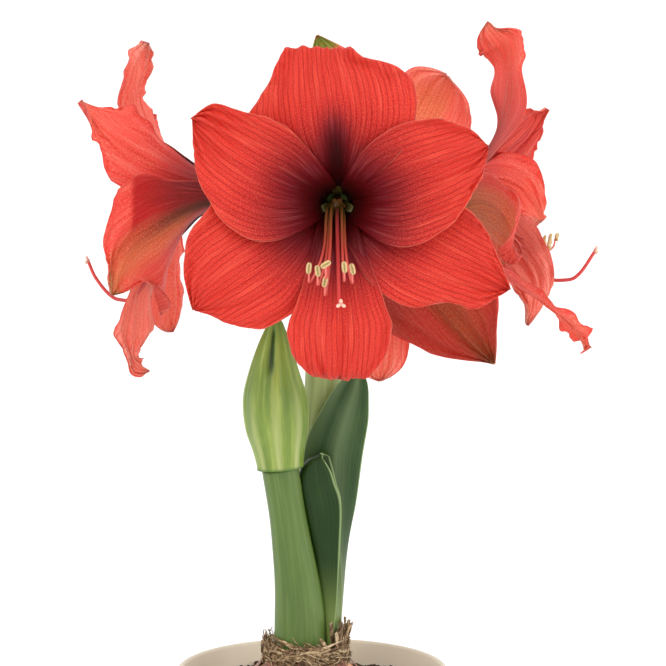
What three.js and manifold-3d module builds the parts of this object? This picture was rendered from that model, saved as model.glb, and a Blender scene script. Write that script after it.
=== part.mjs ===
// A potted amaryllis in bloom: a bulb half out of the soil of a round pot, one stalk that carries
// four open flowers, a second stalk with a closed bud, and two strap leaves.
// Millimetres, +Z up. The origin is the middle of the pot's flat base.
import * as THREE from "three";
import { mergeVertices } from "three/addons/utils/BufferGeometryUtils.js";
import Module from "manifold-3d";

const wasm = await Module();
wasm.setup();

// Driving dimensions
const GAP = 0.3; // clearance between two pieces that touch on the real plant
const SLIVER = 0.1;
const POT = { height: 135, rim: 82, base: 57, wall: 3.4, floor: 6, sides: 32 };
const SOIL = { top: 121, relief: 1.5, rings: 4, sides: 28 };
const BULB = { x: -4, y: 1, bottom: 60, neckTop: 152, socket: 9, sides: 20 };
const COLLAR = { radius: 27, z: 146, flakes: 20 }; // dry skin torn open round the bulb's neck
const UMBEL = { x: 8, y: 14, z: 379, width: 11 }; // where the four flower stems leave their stalk
const FLATTENED = 0.82; // a stalk's depth as a share of its width
const BUD = { x: -19, y: -16, z: 260, length: 91, ribs: 8 };
const BLADE = 0.8; // thickness of petals and bracts
const LEAF_BLADE = 1.8;
const TUBE = { inner: 4.2, outer: 7, length: 10 }; // where the six petals of a flower are one
const CLAW = { outer: 5.6, inner: 4.4 }; // half width of a petal where it leaves that tube
const OVARY = { radius: 6, length: 16 };

const FINISHES = {
  pot: { color: 0xe6dccb, roughness: 0.55 },
  soil: { color: 0x3f2d20, roughness: 1 },
  bulb: { color: 0xc79a66, roughness: 0.6 },
  collar: { color: 0x8a6342, roughness: 0.9 },
  stalk: { color: 0x7fa062, roughness: 0.5 },
  bud: { color: 0x9fb45c, roughness: 0.5 },
  leaf: { color: 0x3f6136, roughness: 0.45 },
  bract: { color: 0xb49a6a, roughness: 0.8 },
  petal: { color: 0xe0302a, roughness: 0.5 },
  stamen: { color: 0xe8c79a, roughness: 0.6 },
  style: { color: 0xd8564c, roughness: 0.5 },
};

// A flower's own frame has its tube's base at the origin, +Z out of its mouth and +Y up. Each petal has
// its foot on the tube at an angle, counted round +Z from +X, and then stations from the throat to the
// tip: x, y, z, half width clockwise and counterclockwise of the midrib, and how far the blade is
// turned about it, in degrees. cup is how sharply the limb is hollowed, in 1/mm, and ruffle, waves and
// phase give its wavy edges.
const FLOWERS = [
  {
    name: "front", at: [15, -22, 421], yaw: 0, pitch: 0,
    petals: [
      { angle: 90, inside: false, cup: 0.003, ruffle: 2, waves: 2.6, phase: 0.1, stations: [
        [0, 17, 44, 16, 16], [-1, 44, 67, 45, 48], [-3, 74, 78, 41, 39], [-7, 91, 74, 20, 24],
        [-8, 84, 62, 8, 8]] },
      { angle: 150, inside: true, cup: 0.004, ruffle: 2.4, waves: 2.2, phase: 0.6, stations: [
        [-13, 8, 44, 14, 19], [-36, 20, 70, 26, 43], [-60, 35, 82, 28, 40], [-81, 52, 77, 13, 12]] },
      { angle: 22, inside: true, cup: 0.004, ruffle: 2.2, waves: 2.3, phase: 0.2, stations: [
        [14, 6, 44, 19, 15], [40, 18, 70, 42, 34], [65, 28, 82, 33, 28], [86, 37, 77, 12, 10]] },
      { angle: 215, inside: false, cup: 0.002, ruffle: 2.6, waves: 2.4, phase: 0.4, stations: [
        [-13, -9, 42, 15, 15], [-33, -25, 64, 34, 30], [-59, -41, 75, 43, 32], [-82, -58, 72, 18, 14]] },
      { angle: 331, inside: false, cup: 0.002, ruffle: 2.4, waves: 2.5, phase: 0.8, stations: [
        [14, -8, 42, 15, 15], [40, -20, 64, 36, 34], [72, -33, 75, 31, 34], [103, -46, 70, 11, 11]] },
      { angle: 268, inside: true, cup: 0.003, ruffle: 1.8, waves: 2.4, phase: 0.3, stations: [
        [0, -15, 44, 14, 14], [-1, -42, 68, 24, 24], [-1, -68, 79, 30, 30], [0, -92, 77, 21, 20],
        [1, -95, 64, 8, 8]] },
    ],
    style: [[0.5, -30, 68], [1, -54, 94], [2, -55, 106]],
  },
  {
    name: "left", at: [-28, 8, 423], yaw: -97, pitch: 0,
    petals: [
      { angle: 90, inside: false, cup: 0.004, ruffle: 2.5, waves: 3, phase: 0, stations: [
        [0, 12, 40, 13, 13], [0, 28, 66, 20, 24, -10], [0, 52, 80, 20, 24, -22], [0, 76, 76, 17, 22, -24],
        [0, 92, 72, 9, 12, -24]] },
      { angle: 152, inside: true, cup: 0.004, ruffle: 3, waves: 2.5, phase: 0.5, stations: [
        [-12, 8, 42, 14, 14], [-30, 22, 66, 26, 26], [-46, 36, 78, 26, 24], [-58, 50, 80, 12, 12]] },
      { angle: 35, inside: true, cup: 0.004, ruffle: 3, waves: 2.3, phase: 0.2, stations: [
        [13, 8, 42, 14, 14], [30, 20, 68, 22, 26], [42, 36, 88, 13, 30], [45, 56, 104, 4, 10]] },
      { angle: 328, inside: false, cup: 0.005, ruffle: 2.4, waves: 2.4, phase: 0.7, stations: [
        [14, -6, 36, 15, 15], [34, -14, 58, 40, 32], [51, -36, 78, 54, 36], [54, -60, 80, 34, 22]] },
      { angle: 268, inside: true, cup: 0.004, ruffle: 3.4, waves: 3, phase: 0.1, stations: [
        [0, -13, 42, 13, 13], [0, -38, 65, 17, 17, 20], [0, -64, 79, 15, 15, 32], [0, -90, 81, 15, 14, 45],
        [0, -111, 76, 6, 6, 55]] },
      { angle: 215, inside: false, cup: 0.004, ruffle: 3, waves: 2.3, phase: 0.9, stations: [
        [-13, -9, 42, 14, 14], [-28, -26, 60, 26, 26], [-40, -56, 66, 34, 28], [-42, -90, 66, 16, 16]] },
    ],
    style: [[0, -30, 70], [0, -55, 92], [0, -40, 108]],
  },
  {
    name: "right", at: [47, 14, 419], yaw: 80, pitch: 0,
    petals: [
      { angle: 90, inside: false, cup: 0.004, ruffle: 2, waves: 3, phase: 0.3, stations: [
        [0, 13, 42, 13, 13], [0, 36, 62, 17, 17, 12], [0, 62, 71, 17, 17, 30], [0, 86, 73, 17, 17, 36],
        [0, 100, 65, 15, 15, 36], [0, 90, 57, 14, 14, 36], [0, 78, 57, 7, 7, 36]] },
      { angle: 35, inside: true, cup: 0.004, ruffle: 3, waves: 2.4, phase: 0.1, stations: [
        [13, 9, 42, 14, 14], [34, 24, 66, 24, 24], [52, 40, 80, 22, 22], [58, 52, 88, 9, 9]] },
      { angle: 143, inside: true, cup: 0.004, ruffle: 2.8, waves: 2.6, phase: 0.6, stations: [
        [-12, 9, 42, 14, 14], [-27, 18, 64, 25, 28], [-39, 24, 83, 27, 30], [-46, 22, 97, 16, 20]] },
      { angle: 200, inside: false, cup: 0.004, ruffle: 2.6, waves: 2.4, phase: 0, stations: [
        [-13, -6, 42, 14, 14], [-35, -10, 60, 28, 26], [-57, -12, 76, 28, 28], [-74, -14, 90, 12, 12]] },
      { angle: 270, inside: true, cup: 0.004, ruffle: 3, waves: 3, phase: 0.4, stations: [
        [0, -14, 42, 12, 12], [0, -38, 62, 15, 15, -10], [0, -57, 85, 15, 15, -20],
        [0, -74, 106, 13, 13, -25], [0, -88, 121, 6, 6, -25]] },
      { angle: 326, inside: false, cup: 0.004, ruffle: 2.8, waves: 2.4, phase: 0.8, stations: [
        [13, -9, 42, 14, 14], [34, -25, 66, 26, 26], [46, -48, 82, 24, 26], [47, -80, 77, 8, 8]] },
    ],
    style: [[0, -26, 70], [0, -44, 92], [0, -44, 108], [0, -29, 126]], lift: 10,
  },
  {
    name: "back", at: [22, 48, 412], yaw: 165, pitch: -4,
    petals: [
      { angle: 69, inside: false, cup: 0.004, ruffle: 2.4, waves: 2.4, phase: 0.2, stations: [
        [6, 16, 44, 15, 15], [16, 44, 64, 30, 30], [28, 76, 74, 24, 24], [41, 107, 72, 10, 10]] },
      { angle: 120, inside: true, cup: 0.004, ruffle: 2.6, waves: 2.4, phase: 0.6, stations: [
        [-8, 13, 44, 14, 14], [-22, 36, 66, 30, 30], [-34, 62, 76, 30, 34], [-46, 84, 70, 18, 18]] },
      { angle: 177, inside: false, cup: 0.004, ruffle: 2.4, waves: 2.3, phase: 0.4, stations: [
        [-16, 1, 44, 15, 15], [-44, 0, 66, 32, 32], [-76, -6, 76, 34, 34], [-99, -14, 66, 14, 14]] },
      { angle: 236, inside: true, cup: 0.004, ruffle: 2.4, waves: 2.4, phase: 0.1, stations: [
        [-9, -14, 44, 14, 14], [-28, -42, 66, 34, 32], [-53, -73, 76, 36, 32], [-79, -99, 70, 12, 10]] },
      { angle: 275, inside: false, cup: 0.004, ruffle: 2.6, waves: 2.4, phase: 0.7, stations: [
        [1, -16, 44, 15, 15], [0, -46, 66, 30, 30], [-2, -82, 74, 28, 28], [-4, -114, 66, 14, 14]] },
      { angle: 350, inside: true, cup: 0.004, ruffle: 2.4, waves: 2.4, phase: 0.5, stations: [
        [15, -3, 44, 14, 14], [42, -8, 66, 30, 30], [70, -12, 76, 28, 28], [88, -14, 68, 12, 12]] },
    ],
    style: [[0, -30, 70], [0, -52, 94], [0, -44, 110]],
  },
];

// A flower's six filaments: where each starts round the hub, where its anther's middle is in the
// flower's frame, and how far the anther leans, in degrees.
const STAMENS = [
  { start: 150, end: [-16, -36, 88], lean: 8 },
  { start: 210, end: [-11, -38, 93], lean: -4 },
  { start: 90, end: [-7, -34, 97], lean: 58 },
  { start: 270, end: [-7, -45, 84], lean: 10 },
  { start: 30, end: [4, -36, 92], lean: -6 },
  { start: 330, end: [9, -38, 88], lean: -14 },
];
const HUB = { inner: 2.1, outer: 3.8, length: 15, arm: 6.4 };
const ANTHER = { length: 10, radius: 2.1 };
const STYLE = { radius: 1.2, lobe: 4 };

// Small helpers
const radians = THREE.MathUtils.degToRad;
const mix = THREE.MathUtils.lerp;
const smooth = THREE.MathUtils.smoothstep;
const vec = (x, y, z) => new THREE.Vector3(x, y, z);
const curveThrough = (points) => new THREE.CatmullRomCurve3(points, false, "catmullrom");

// A smooth function of a share from 0 to 1 through evenly spaced values.
function profile(values) {
  const curve = curveThrough(values.map((value, i) => vec(value, i, 0)));
  return (s) => curve.getPoint(s).x;
}

// A repeatable number from 0 to 1 for one or two whole numbers.
function draw(a, b = 0) {
  const s = Math.sin(a * 127.1 + b * 311.7 + 3.3) * 43758.5453;
  return s - Math.floor(s);
}

function toSolid(geometry) {
  const bare = geometry.clone();
  bare.deleteAttribute("normal");
  bare.deleteAttribute("uv");
  const merged = mergeVertices(bare, 1e-4);
  const vertProperties = merged.attributes.position.array;
  const triVerts = new Uint32Array(merged.index.array);
  return new wasm.Manifold(new wasm.Mesh({ numProp: 3, vertProperties, triVerts }));
}

function toGeometry(solid) {
  const mesh = solid.getMesh();
  const geometry = new THREE.BufferGeometry();
  geometry.setAttribute("position", new THREE.BufferAttribute(mesh.vertProperties, 3));
  geometry.setIndex(new THREE.BufferAttribute(mesh.triVerts, 1));
  return geometry;
}

// One solid of all the geometries, with the voids that joining seals filled and its slivers merged.
function join(geometries) {
  const sum = geometries.map(toSolid).reduce((whole, next) => whole.add(next)).simplify(SLIVER);
  return sum.decompose().reduce((most, next) => (next.volume() > most.volume() ? next : most));
}

// Everything below the height z when side is -1, or above it when side is 1.
function halfSpace(z, side) {
  const size = 500;
  return toSolid(new THREE.BoxGeometry(size, size, size).translate(0, 0, z + (side * size) / 2));
}

// A body turned about +Z from an outline of radius and height, which runs up its outside.
function lathe(outline, sides) {
  const points = outline.map(([r, z]) => new THREE.Vector2(r, z));
  return new THREE.LatheGeometry(points, sides).rotateX(Math.PI / 2);
}

function signedVolume(points, faces) {
  let sum = 0;
  for (let i = 0; i < faces.length; i += 3) {
    const [a, b, c] = [points[faces[i]], points[faces[i + 1]], points[faces[i + 2]]];
    sum += a.dot(b.clone().cross(c)) / 6;
  }
  return sum;
}

// A closed body through rings of equally many points. A blade's rings run along its inner face and
// back along its outer face, which are split into triangles alike, and its ends are strips.
function loft(rings, isBlade = false) {
  const count = rings[0].length;
  const points = rings.flat();
  const faces = [];
  for (let j = 0; j + 1 < rings.length; j += 1) {
    for (let k = 0; k < count; k += 1) {
      const a = j * count + k;
      const b = j * count + ((k + 1) % count);
      const [c, d] = [b + count, a + count];
      if (isBlade && k >= count / 2) faces.push(a, b, d, b, c, d);
      else faces.push(a, b, c, a, c, d);
    }
  }
  for (const [start, atEnd] of [[0, false], [(rings.length - 1) * count, true]]) {
    const cap = [];
    if (isBlade) {
      for (let k = 0; k + 1 < count / 2; k += 1) {
        const [a, b] = [start + k, start + k + 1];
        const [c, d] = [start + count - 2 - k, start + count - 1 - k];
        cap.push(a, c, b, a, d, c);
      }
    } else {
      for (let k = 1; k + 1 < count; k += 1) cap.push(start, start + k + 1, start + k);
    }
    if (atEnd) cap.reverse();
    faces.push(...cap);
  }
  if (signedVolume(points, faces) < 0) faces.reverse();
  const geometry = new THREE.BufferGeometry().setFromPoints(points);
  geometry.setIndex(faces);
  return geometry;
}

// A solid rod along a curve through points. girth(s) gives its half width and half depth at share s
// of it, and flute(s, turn) what is added to both at one turn round it. The width lies along across.
function rod(points, girth, { steps = 8, sides = 8, across = vec(1, 0, 0), flute = () => 0 } = {}) {
  const curve = curveThrough(points.map((p) => vec(...p)));
  const rings = [];
  for (let j = 0; j <= steps; j += 1) {
    const s = j / steps;
    const along = curve.getTangent(s);
    const side = across.clone().addScaledVector(along, -across.dot(along)).normalize();
    const depth = along.clone().cross(side);
    const [halfWidth, halfDepth] = girth(s);
    const ring = [];
    for (let k = 0; k < sides; k += 1) {
      const turn = (2 * Math.PI * k) / sides;
      const swell = flute(s, turn);
      ring.push(
        curve
          .getPoint(s)
          .addScaledVector(side, (halfWidth + swell) * Math.cos(turn))
          .addScaledVector(depth, (halfDepth + swell) * Math.sin(turn)),
      );
    }
    rings.push(ring);
  }
  return loft(rings);
}

// A thin blade on the surface that surface(s, u) gives, for s from 0 to 1 along it and u from -1 to 1
// across it.
function blade(surface, { steps, cells, thickness = BLADE }) {
  const h = 1e-3;
  const rings = [];
  for (let j = 0; j <= steps; j += 1) {
    const s = j / steps;
    const [inner, outer] = [[], []];
    for (let i = 0; i <= cells; i += 1) {
      const u = (2 * i) / cells - 1;
      const lengthwise = surface(Math.min(s + h, 1), u).sub(surface(Math.max(s - h, 0), u));
      const crosswise = surface(s, Math.min(u + h, 1)).sub(surface(s, Math.max(u - h, -1)));
      const normal = lengthwise.cross(crosswise).normalize();
      const point = surface(s, u);
      inner.push(point.clone().addScaledVector(normal, thickness / 2));
      outer.push(point.clone().addScaledVector(normal, -thickness / 2));
    }
    rings.push([...inner, ...outer.reverse()]);
  }
  return loft(rings, true);
}

// The surface of a strip along a midrib through stations, which give x, y, z, the half width on each
// side and the turn. section(s, arc, place) gives how far a point at that arc from the midrib lies
// sideways and towards the inner face.
function strip(stations, across, { section, tip = () => 1, ripple = () => 0, grow = 0 }) {
  const spine = curveThrough(stations.map(([x, y, z]) => vec(x, y, z)));
  const shape = curveThrough(stations.map(([, , , before, after, turn = 0]) => vec(before, after, turn)));
  return (s, u) => {
    const along = spine.getTangent(s);
    const side = across.clone().addScaledVector(along, -across.dot(along)).normalize();
    const { x: before, y: after, z: turn } = shape.getPoint(s);
    side.applyAxisAngle(along, radians(turn));
    const arc = u * ((u < 0 ? before : after) * tip(s) + grow);
    const place = spine.getPoint(s);
    const [sideways, inwards] = section(s, arc, place);
    return place
      .addScaledVector(side, sideways)
      .addScaledVector(along.clone().cross(side), inwards + ripple(s, u));
  };
}

function arched(arc, curvature) {
  return [Math.sin(curvature * arc) / curvature, (1 - Math.cos(curvature * arc)) / curvature];
}

function roundTip(s, from) {
  const x = Math.max(0, (s - from) / (1 - from));
  return Math.max((1 - x ** 2.2) ** 0.7, 0.06);
}

// Pot, soil and bulb
const potRadius = (z) => mix(POT.base, POT.rim, z / POT.height);

function pot() {
  const edge = 3; // rounding at the foot and lip
  const lip = POT.wall / 2;
  const outline = [
    [0, 0], [POT.base - edge, 0], [POT.base - 0.3 * edge, 0.3 * edge], [potRadius(edge), edge],
    [potRadius(POT.height - lip), POT.height - lip], [POT.rim - 0.35 * lip, POT.height - 0.3 * lip],
    [POT.rim - lip, POT.height], [POT.rim - 1.7 * lip, POT.height - 0.3 * lip],
    [POT.rim - POT.wall, POT.height - lip], [potRadius(POT.floor) - POT.wall, POT.floor], [0, POT.floor],
  ];
  return lathe(outline, POT.sides);
}

function bulbOutline(grow = 0) {
  const knots = [
    [16, BULB.bottom], [33, 70], [42, 86], [43.5, 100], [40, 119], [32, 132], [27, 139], [25.4, 146],
    [24.6, BULB.neckTop],
  ];
  const spline = new THREE.SplineCurve(knots.map(([r, z]) => new THREE.Vector2(r + grow, z)));
  const side = spline.getPoints(11).map(({ x, y }) => [x, y]);
  return [[0, BULB.bottom - grow], ...side, [0, BULB.neckTop]];
}

function bulb(stems) {
  let body = toSolid(lathe(bulbOutline(), BULB.sides).translate(BULB.x, BULB.y, 0));
  for (const stem of stems) body = body.subtract(stem);
  return toGeometry(body);
}

function soil() {
  const wall = (z) => potRadius(z) - POT.wall - GAP;
  const bottom = POT.floor + GAP;
  const outline = [[0, bottom], [wall(bottom), bottom], [wall(SOIL.top), SOIL.top]];
  for (let i = 1; i <= SOIL.rings; i += 1) {
    outline.push([(wall(SOIL.top) * (SOIL.rings - i)) / SOIL.rings, SOIL.top]);
  }
  const body = lathe(outline, SOIL.sides);
  const place = body.attributes.position;
  for (let i = 0; i < place.count; i += 1) {
    const [x, y, z] = [place.getX(i), place.getY(i), place.getZ(i)];
    if (z < SOIL.top - 1 || Math.hypot(x, y) > wall(SOIL.top) - 1) continue;
    const bumps = Math.sin(x * 0.23 + 1) * Math.cos(y * 0.19) + Math.sin(x * 0.47 + y * 0.39);
    place.setZ(i, z + (SOIL.relief * bumps) / 2);
  }
  const hole = toSolid(lathe(bulbOutline(GAP), BULB.sides).translate(BULB.x, BULB.y, 0));
  return toGeometry(toSolid(body).subtract(hole));
}

// Torn flakes of the bulb's dry skin, on a band round its neck.
function collar() {
  const inner = COLLAR.radius - 0.8;
  const band = lathe([
    [inner, COLLAR.z - 3], [COLLAR.radius + 0.6, COLLAR.z - 3], [COLLAR.radius + 0.6, COLLAR.z + 3],
    [inner, COLLAR.z + 3], [inner, COLLAR.z - 3],
  ], BULB.sides);
  const flakes = [];
  for (let i = 0; i < COLLAR.flakes; i += 1) {
    const angle = (2 * Math.PI * (i + 0.6 * draw(i))) / COLLAR.flakes;
    const tall = Math.max(0, Math.cos(angle - 0.15)) ** 8; // one long flake stands on the right
    const length = 6 + 8 * draw(i, 1) + 8 * tall;
    const lean = 0.5 * draw(i, 2) * (1 - tall) - 0.03;
    const twist = 0.5 * (draw(i, 3) - 0.5);
    const at = (out, up, turn) => [
      (COLLAR.radius + out) * Math.cos(angle + turn), (COLLAR.radius + out) * Math.sin(angle + turn),
      COLLAR.z + up,
    ];
    const half = 2 + 1.6 * draw(i, 4);
    const stations = [
      [...at(0, -2.6, 0), half, half], [...at(length * lean * 0.4, length * 0.5, twist * 0.3), half, half],
      [...at(length * lean * 1.6, length * (1 - 0.8 * lean), twist), half * 0.4, half * 0.3],
    ];
    const across = vec(-Math.sin(angle), Math.cos(angle), 0);
    const surface = strip(stations, across, { section: (s, arc) => arched(arc, 0.06) });
    flakes.push(blade(surface, { steps: 2, cells: 1 }));
  }
  return toGeometry(join([band, ...flakes])).translate(BULB.x, BULB.y, 0);
}

// Stalks and leaves. grow widens each for the socket that it stands in.
function placed(flower) {
  const group = new THREE.Group();
  const [yaw, pitch] = [radians(flower.yaw), radians(flower.pitch)];
  const mouth = vec(Math.sin(yaw) * Math.cos(pitch), -Math.cos(yaw) * Math.cos(pitch), Math.sin(pitch));
  const right = vec(0, 0, 1).cross(mouth).normalize();
  const frame = new THREE.Matrix4().makeBasis(right, mouth.clone().cross(right), mouth);
  group.quaternion.setFromRotationMatrix(frame);
  group.position.set(...flower.at);
  group.updateMatrix();
  return group;
}

function floweringStalk(grow = 0) {
  const width = profile([12.6, 12.4, 12, 11.6, UMBEL.width]);
  const foot = BULB.neckTop - BULB.socket + GAP - grow;
  return rod(
    [[-6, 13, foot], [-5, 14, 195], [2, 16, 245], [7, 15, 305], [UMBEL.x, UMBEL.y, UMBEL.z]],
    (s) => [width(s) + grow, FLATTENED * width(s) + grow],
    { steps: 8, sides: 12 },
  );
}

// A flower stem: its slim pedicel from the umbel and the ovary that the flower's tube stands on.
function pedicel(flower) {
  const group = placed(flower);
  const back = (distance, drop) => {
    const p = vec(0, 0, -distance).applyMatrix4(group.matrix);
    return [p.x, p.y, p.z - drop];
  };
  const girth = profile([5, 4.4, 4.4, 4.8, 6.4, OVARY.radius]);
  const [x, y, z] = [UMBEL.x, UMBEL.y, UMBEL.z];
  const [ox, oy] = back(OVARY.length, 0);
  return rod(
    [
      [x, y, z - 8], [mix(x, ox, 0.3), mix(y, oy, 0.3), z + 10], back(OVARY.length * 1.5, 9),
      back(OVARY.length * 0.7, 0), back(0, 0),
    ],
    (s) => [girth(s), girth(s)],
    { steps: 6, sides: 8, across: vec(1, 0, 0).transformDirection(group.matrix) },
  );
}

function floweringStalkAndPedicels() {
  return toGeometry(join([floweringStalk(), ...FLOWERS.map(pedicel)]));
}

function budStalk(grow = 0) {
  const width = profile([15.7, 15, 12.8, 11, 11]);
  const foot = BULB.neckTop - BULB.socket + GAP - grow;
  const whole = rod(
    [[-7, -9.5, foot], [-8, -11, 180], [-13, -14, 220], [BUD.x, BUD.y, BUD.z], [-20, -16.5, BUD.z + 5]],
    (s) => [width(s) + grow, 0.62 * width(s) + 2 * s + grow],
    { steps: 8, sides: 12 },
  );
  return toGeometry(toSolid(whole).subtract(halfSpace(BUD.z - GAP / 2, 1)));
}

function bud() {
  const width = profile([13.6, 15.4, 18.2, 19, 18, 14.4, 9.5, 3]);
  const [x, y, z, length] = [BUD.x, BUD.y, BUD.z, BUD.length];
  const whole = rod(
    [[x + 0.4, y, z - 3], [x - 2, y - 1, z + 0.3 * length], [x - 3.5, y - 1, z + 0.6 * length],
      [x - 2.5, y, z + length]],
    (s) => [width(s), FLATTENED * width(s)],
    {
      steps: 12, sides: 2 * BUD.ribs,
      flute: (s, turn) => 0.5 * Math.cos(BUD.ribs * turn) * Math.sin(Math.PI * s),
    },
  );
  return toGeometry(toSolid(whole).subtract(halfSpace(z + GAP / 2, -1)));
}

function largeLeaf(grow = 0) {
  const foot = BULB.neckTop - BULB.socket + GAP - grow;
  const stations = [
    [15.5, 5, foot, 7.5, 7.5, 82], [16.5, 6, 190, 9, 9, 64], [13, 4, 230, 15, 16, 24],
    [13, 1, 264, 18.5, 18, 4], [20, -2, 292, 14, 15, 0], [27, -4, 316, 7, 7, 0],
  ];
  const surface = strip(stations, vec(1, 0, 0), {
    section: (s, arc) => arched(arc, mix(0.035, 0.018, s)),
    tip: (s) => roundTip(s, 0.7),
    grow,
  });
  return blade(surface, { steps: 10, cells: 6, thickness: LEAF_BLADE + 2 * grow });
}

// The short leaf is folded lengthwise, with its keel on the left.
function shortLeaf(grow = 0) {
  const foot = BULB.neckTop - BULB.socket + GAP - grow;
  const stations = [
    [11.5, -8, foot, 3.4, 3.4], [9, -9, 175, 8, 8], [3, -11, 208, 16, 16], [-3, -11.5, 238, 19, 20],
    [0, -11.5, 258, 17, 14], [7, -11, 270, 6, 6],
  ];
  const surface = strip(stations, vec(0, -1, 0), {
    section: (s, arc) => {
      const depth = mix(4, 5, smooth(s, 0, 0.5));
      const sideways = depth * Math.tanh(arc / depth);
      return [sideways, Math.abs(arc) - 0.7 * Math.abs(sideways)];
    },
    tip: (s) => roundTip(s, 0.75),
    grow,
  });
  return blade(surface, { steps: 10, cells: 8, thickness: LEAF_BLADE + 2 * grow });
}

// The two papery bracts that once closed over the flowers hang from the top of the stalk.
const SEAT = FLATTENED * UMBEL.width + GAP + BLADE / 2;
const BRACTS = {
  front: [[8, UMBEL.y - SEAT, 376, 5, 5], [7, -8, 372, 8, 8], [5, -13, 352, 7, 7], [3, -12, 328, 3, 3]],
  back: [[8, UMBEL.y + SEAT, 376, 5, 5], [8, 37, 371, 8, 8], [10, 43, 350, 7, 7], [11, 41, 322, 3, 3]],
};

function bract(stations) {
  const surface = strip(stations, vec(1, 0, 0), {
    section: (s, arc) => arched(arc, -0.07),
    tip: (s) => roundTip(s, 0.6),
    ripple: (s, u) => 1.2 * u * u * Math.sin(9 * s + 2 * u),
  });
  return blade(surface, { steps: 8, cells: 4 });
}

// Flowers
function petal({ angle, inside, cup, ruffle, waves, phase, stations }) {
  const away = vec(Math.cos(radians(angle)), Math.sin(radians(angle)), 0);
  const claw = inside ? CLAW.inner : CLAW.outer;
  const foot = inside ? 5 : 6.3;
  const feet = [[0, 0, 1], [2.6, 20, 1.7]].map(([out, z, wide]) => [
    away.x * (foot + out), away.y * (foot + out), z, claw * wide, claw * wide,
  ]);
  const surface = strip([...feet, ...stations], vec(-away.y, away.x, 0), {
    section: (s, arc, { x, y }) =>
      arched(arc, mix(1 / Math.max(Math.hypot(x, y), foot), cup, smooth(s, 0.25, 0.6))),
    tip: (s) => roundTip(s, 0.72),
    ripple: (s, u) => {
      const wave = Math.sin(2 * Math.PI * (waves * s + phase + (u > 0 ? 0 : 0.37)));
      return ruffle * wave * Math.abs(u) ** 2.5 * smooth(s, 0.35, 0.7);
    },
  });
  return blade(surface, { steps: 2 * stations.length - 1, cells: 4 });
}

function petals(flower) {
  const [inner, outer, end] = [TUBE.inner, TUBE.outer, TUBE.length];
  const wall = [[inner, -1], [outer, -1], [outer + 0.4, end], [inner + 0.6, end], [inner, -1]];
  return toGeometry(join([...flower.petals.map(petal), lathe(wall, 10)]).subtract(halfSpace(GAP, -1)));
}

// The stamens: a hollow hub on the ovary with three short arms, and six filaments with their anthers.
function stamens({ lift = 0 }) {
  const hub = lathe([
    [HUB.inner, GAP], [HUB.outer, GAP], [HUB.outer, HUB.length], [HUB.inner, HUB.length], [HUB.inner, GAP],
  ], 6);
  const arms = [90, 210, 330].map((angle) => {
    const at = (r, z) => [r * Math.cos(radians(angle)), r * Math.sin(radians(angle)), z];
    return rod([at(3.2, 12), at(4.8, 17), at(HUB.arm, 22)], (s) => [mix(1.6, 1, s), 0.6], {
      steps: 2, sides: 3, across: vec(-Math.sin(radians(angle)), Math.cos(radians(angle)), 0),
    });
  });
  const filaments = STAMENS.flatMap(({ start, end: [x, low, z], lean }) => {
    const [cos, sin] = [Math.cos(radians(start)), Math.sin(radians(start))];
    const spread = 0.28 * x + 1.6 * Math.sign(x);
    const y = low + lift;
    const filament = rod(
      [[3 * cos, 3 * sin, 11], [spread, 3 * sin - 5, 40], [mix(spread, x, 0.6), 0.6 * y, 66],
        [x, y - 3, z - 8], [x, y, z - 0.5]],
      () => [0.8, 0.8], { steps: 6, sides: 3 },
    );
    const [dx, dy] = [Math.sin(radians(lean)), Math.cos(radians(lean))];
    const tips = [-1, 0, 1].map((t) => [
      x + (t * dx * ANTHER.length) / 2, y + (t * dy * ANTHER.length) / 2, z + 0.6 * t * t,
    ]);
    const girth = profile([0.6, 1, 1, 0.5]);
    const anther = rod(tips, (s) => [girth(s) * ANTHER.radius, girth(s) * ANTHER.radius * 0.8], {
      steps: 3, sides: 4, across: vec(dy, -dx, 0),
    });
    return [filament, anther];
  });
  return toGeometry(join([hub, ...arms, ...filaments]));
}

function pistil(flower) {
  const points = [[0, 0, GAP], [0, 0, 15], [0, -8, 40], ...flower.style];
  const style = rod(points, () => [STYLE.radius, STYLE.radius], { steps: 9, sides: 5 });
  const [x, y, z] = flower.style.at(-1);
  const lobes = [90, 210, 330].map((angle) => {
    const [cos, sin] = [Math.cos(radians(angle)), Math.sin(radians(angle))];
    const end = [x + STYLE.lobe * cos, y + STYLE.lobe * sin, z + 1.5];
    return rod([[x, y, z - 0.6], end], (s) => [mix(1, 1.4, s), 1], {
      steps: 1, sides: 5, across: vec(-sin, cos, 0),
    });
  });
  return toGeometry(join([style, ...lobes]));
}

// The plant
function piece(name, geometry, finish) {
  const material = new THREE.MeshStandardMaterial({ metalness: 0, ...FINISHES[finish] });
  const mesh = new THREE.Mesh(geometry, material);
  mesh.name = name;
  return mesh;
}

const sockets = [floweringStalk(GAP), budStalk(GAP), largeLeaf(GAP), shortLeaf(GAP)].map(toSolid);
const plant = new THREE.Group();
plant.add(
  piece("pot", pot(), "pot"),
  piece("soil", soil(), "soil"),
  piece("bulb", bulb(sockets), "bulb"),
  piece("dry_skin_collar", collar(), "collar"),
  piece("flowering_stalk", floweringStalkAndPedicels(), "stalk"),
  piece("bud_stalk", budStalk(), "stalk"),
  piece("bud", bud(), "bud"),
  piece("large_leaf", largeLeaf(), "leaf"),
  piece("short_leaf", shortLeaf(), "leaf"),
  piece("front_bract", bract(BRACTS.front), "bract"),
  piece("back_bract", bract(BRACTS.back), "bract"),
);
for (const flower of FLOWERS) {
  const group = placed(flower);
  group.add(
    piece(`${flower.name}_flower_petals`, petals(flower), "petal"),
    piece(`${flower.name}_flower_stamens`, stamens(flower), "stamen"),
    piece(`${flower.name}_flower_pistil`, pistil(flower), "style"),
  );
  plant.add(group);
}

export default plant;
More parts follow.
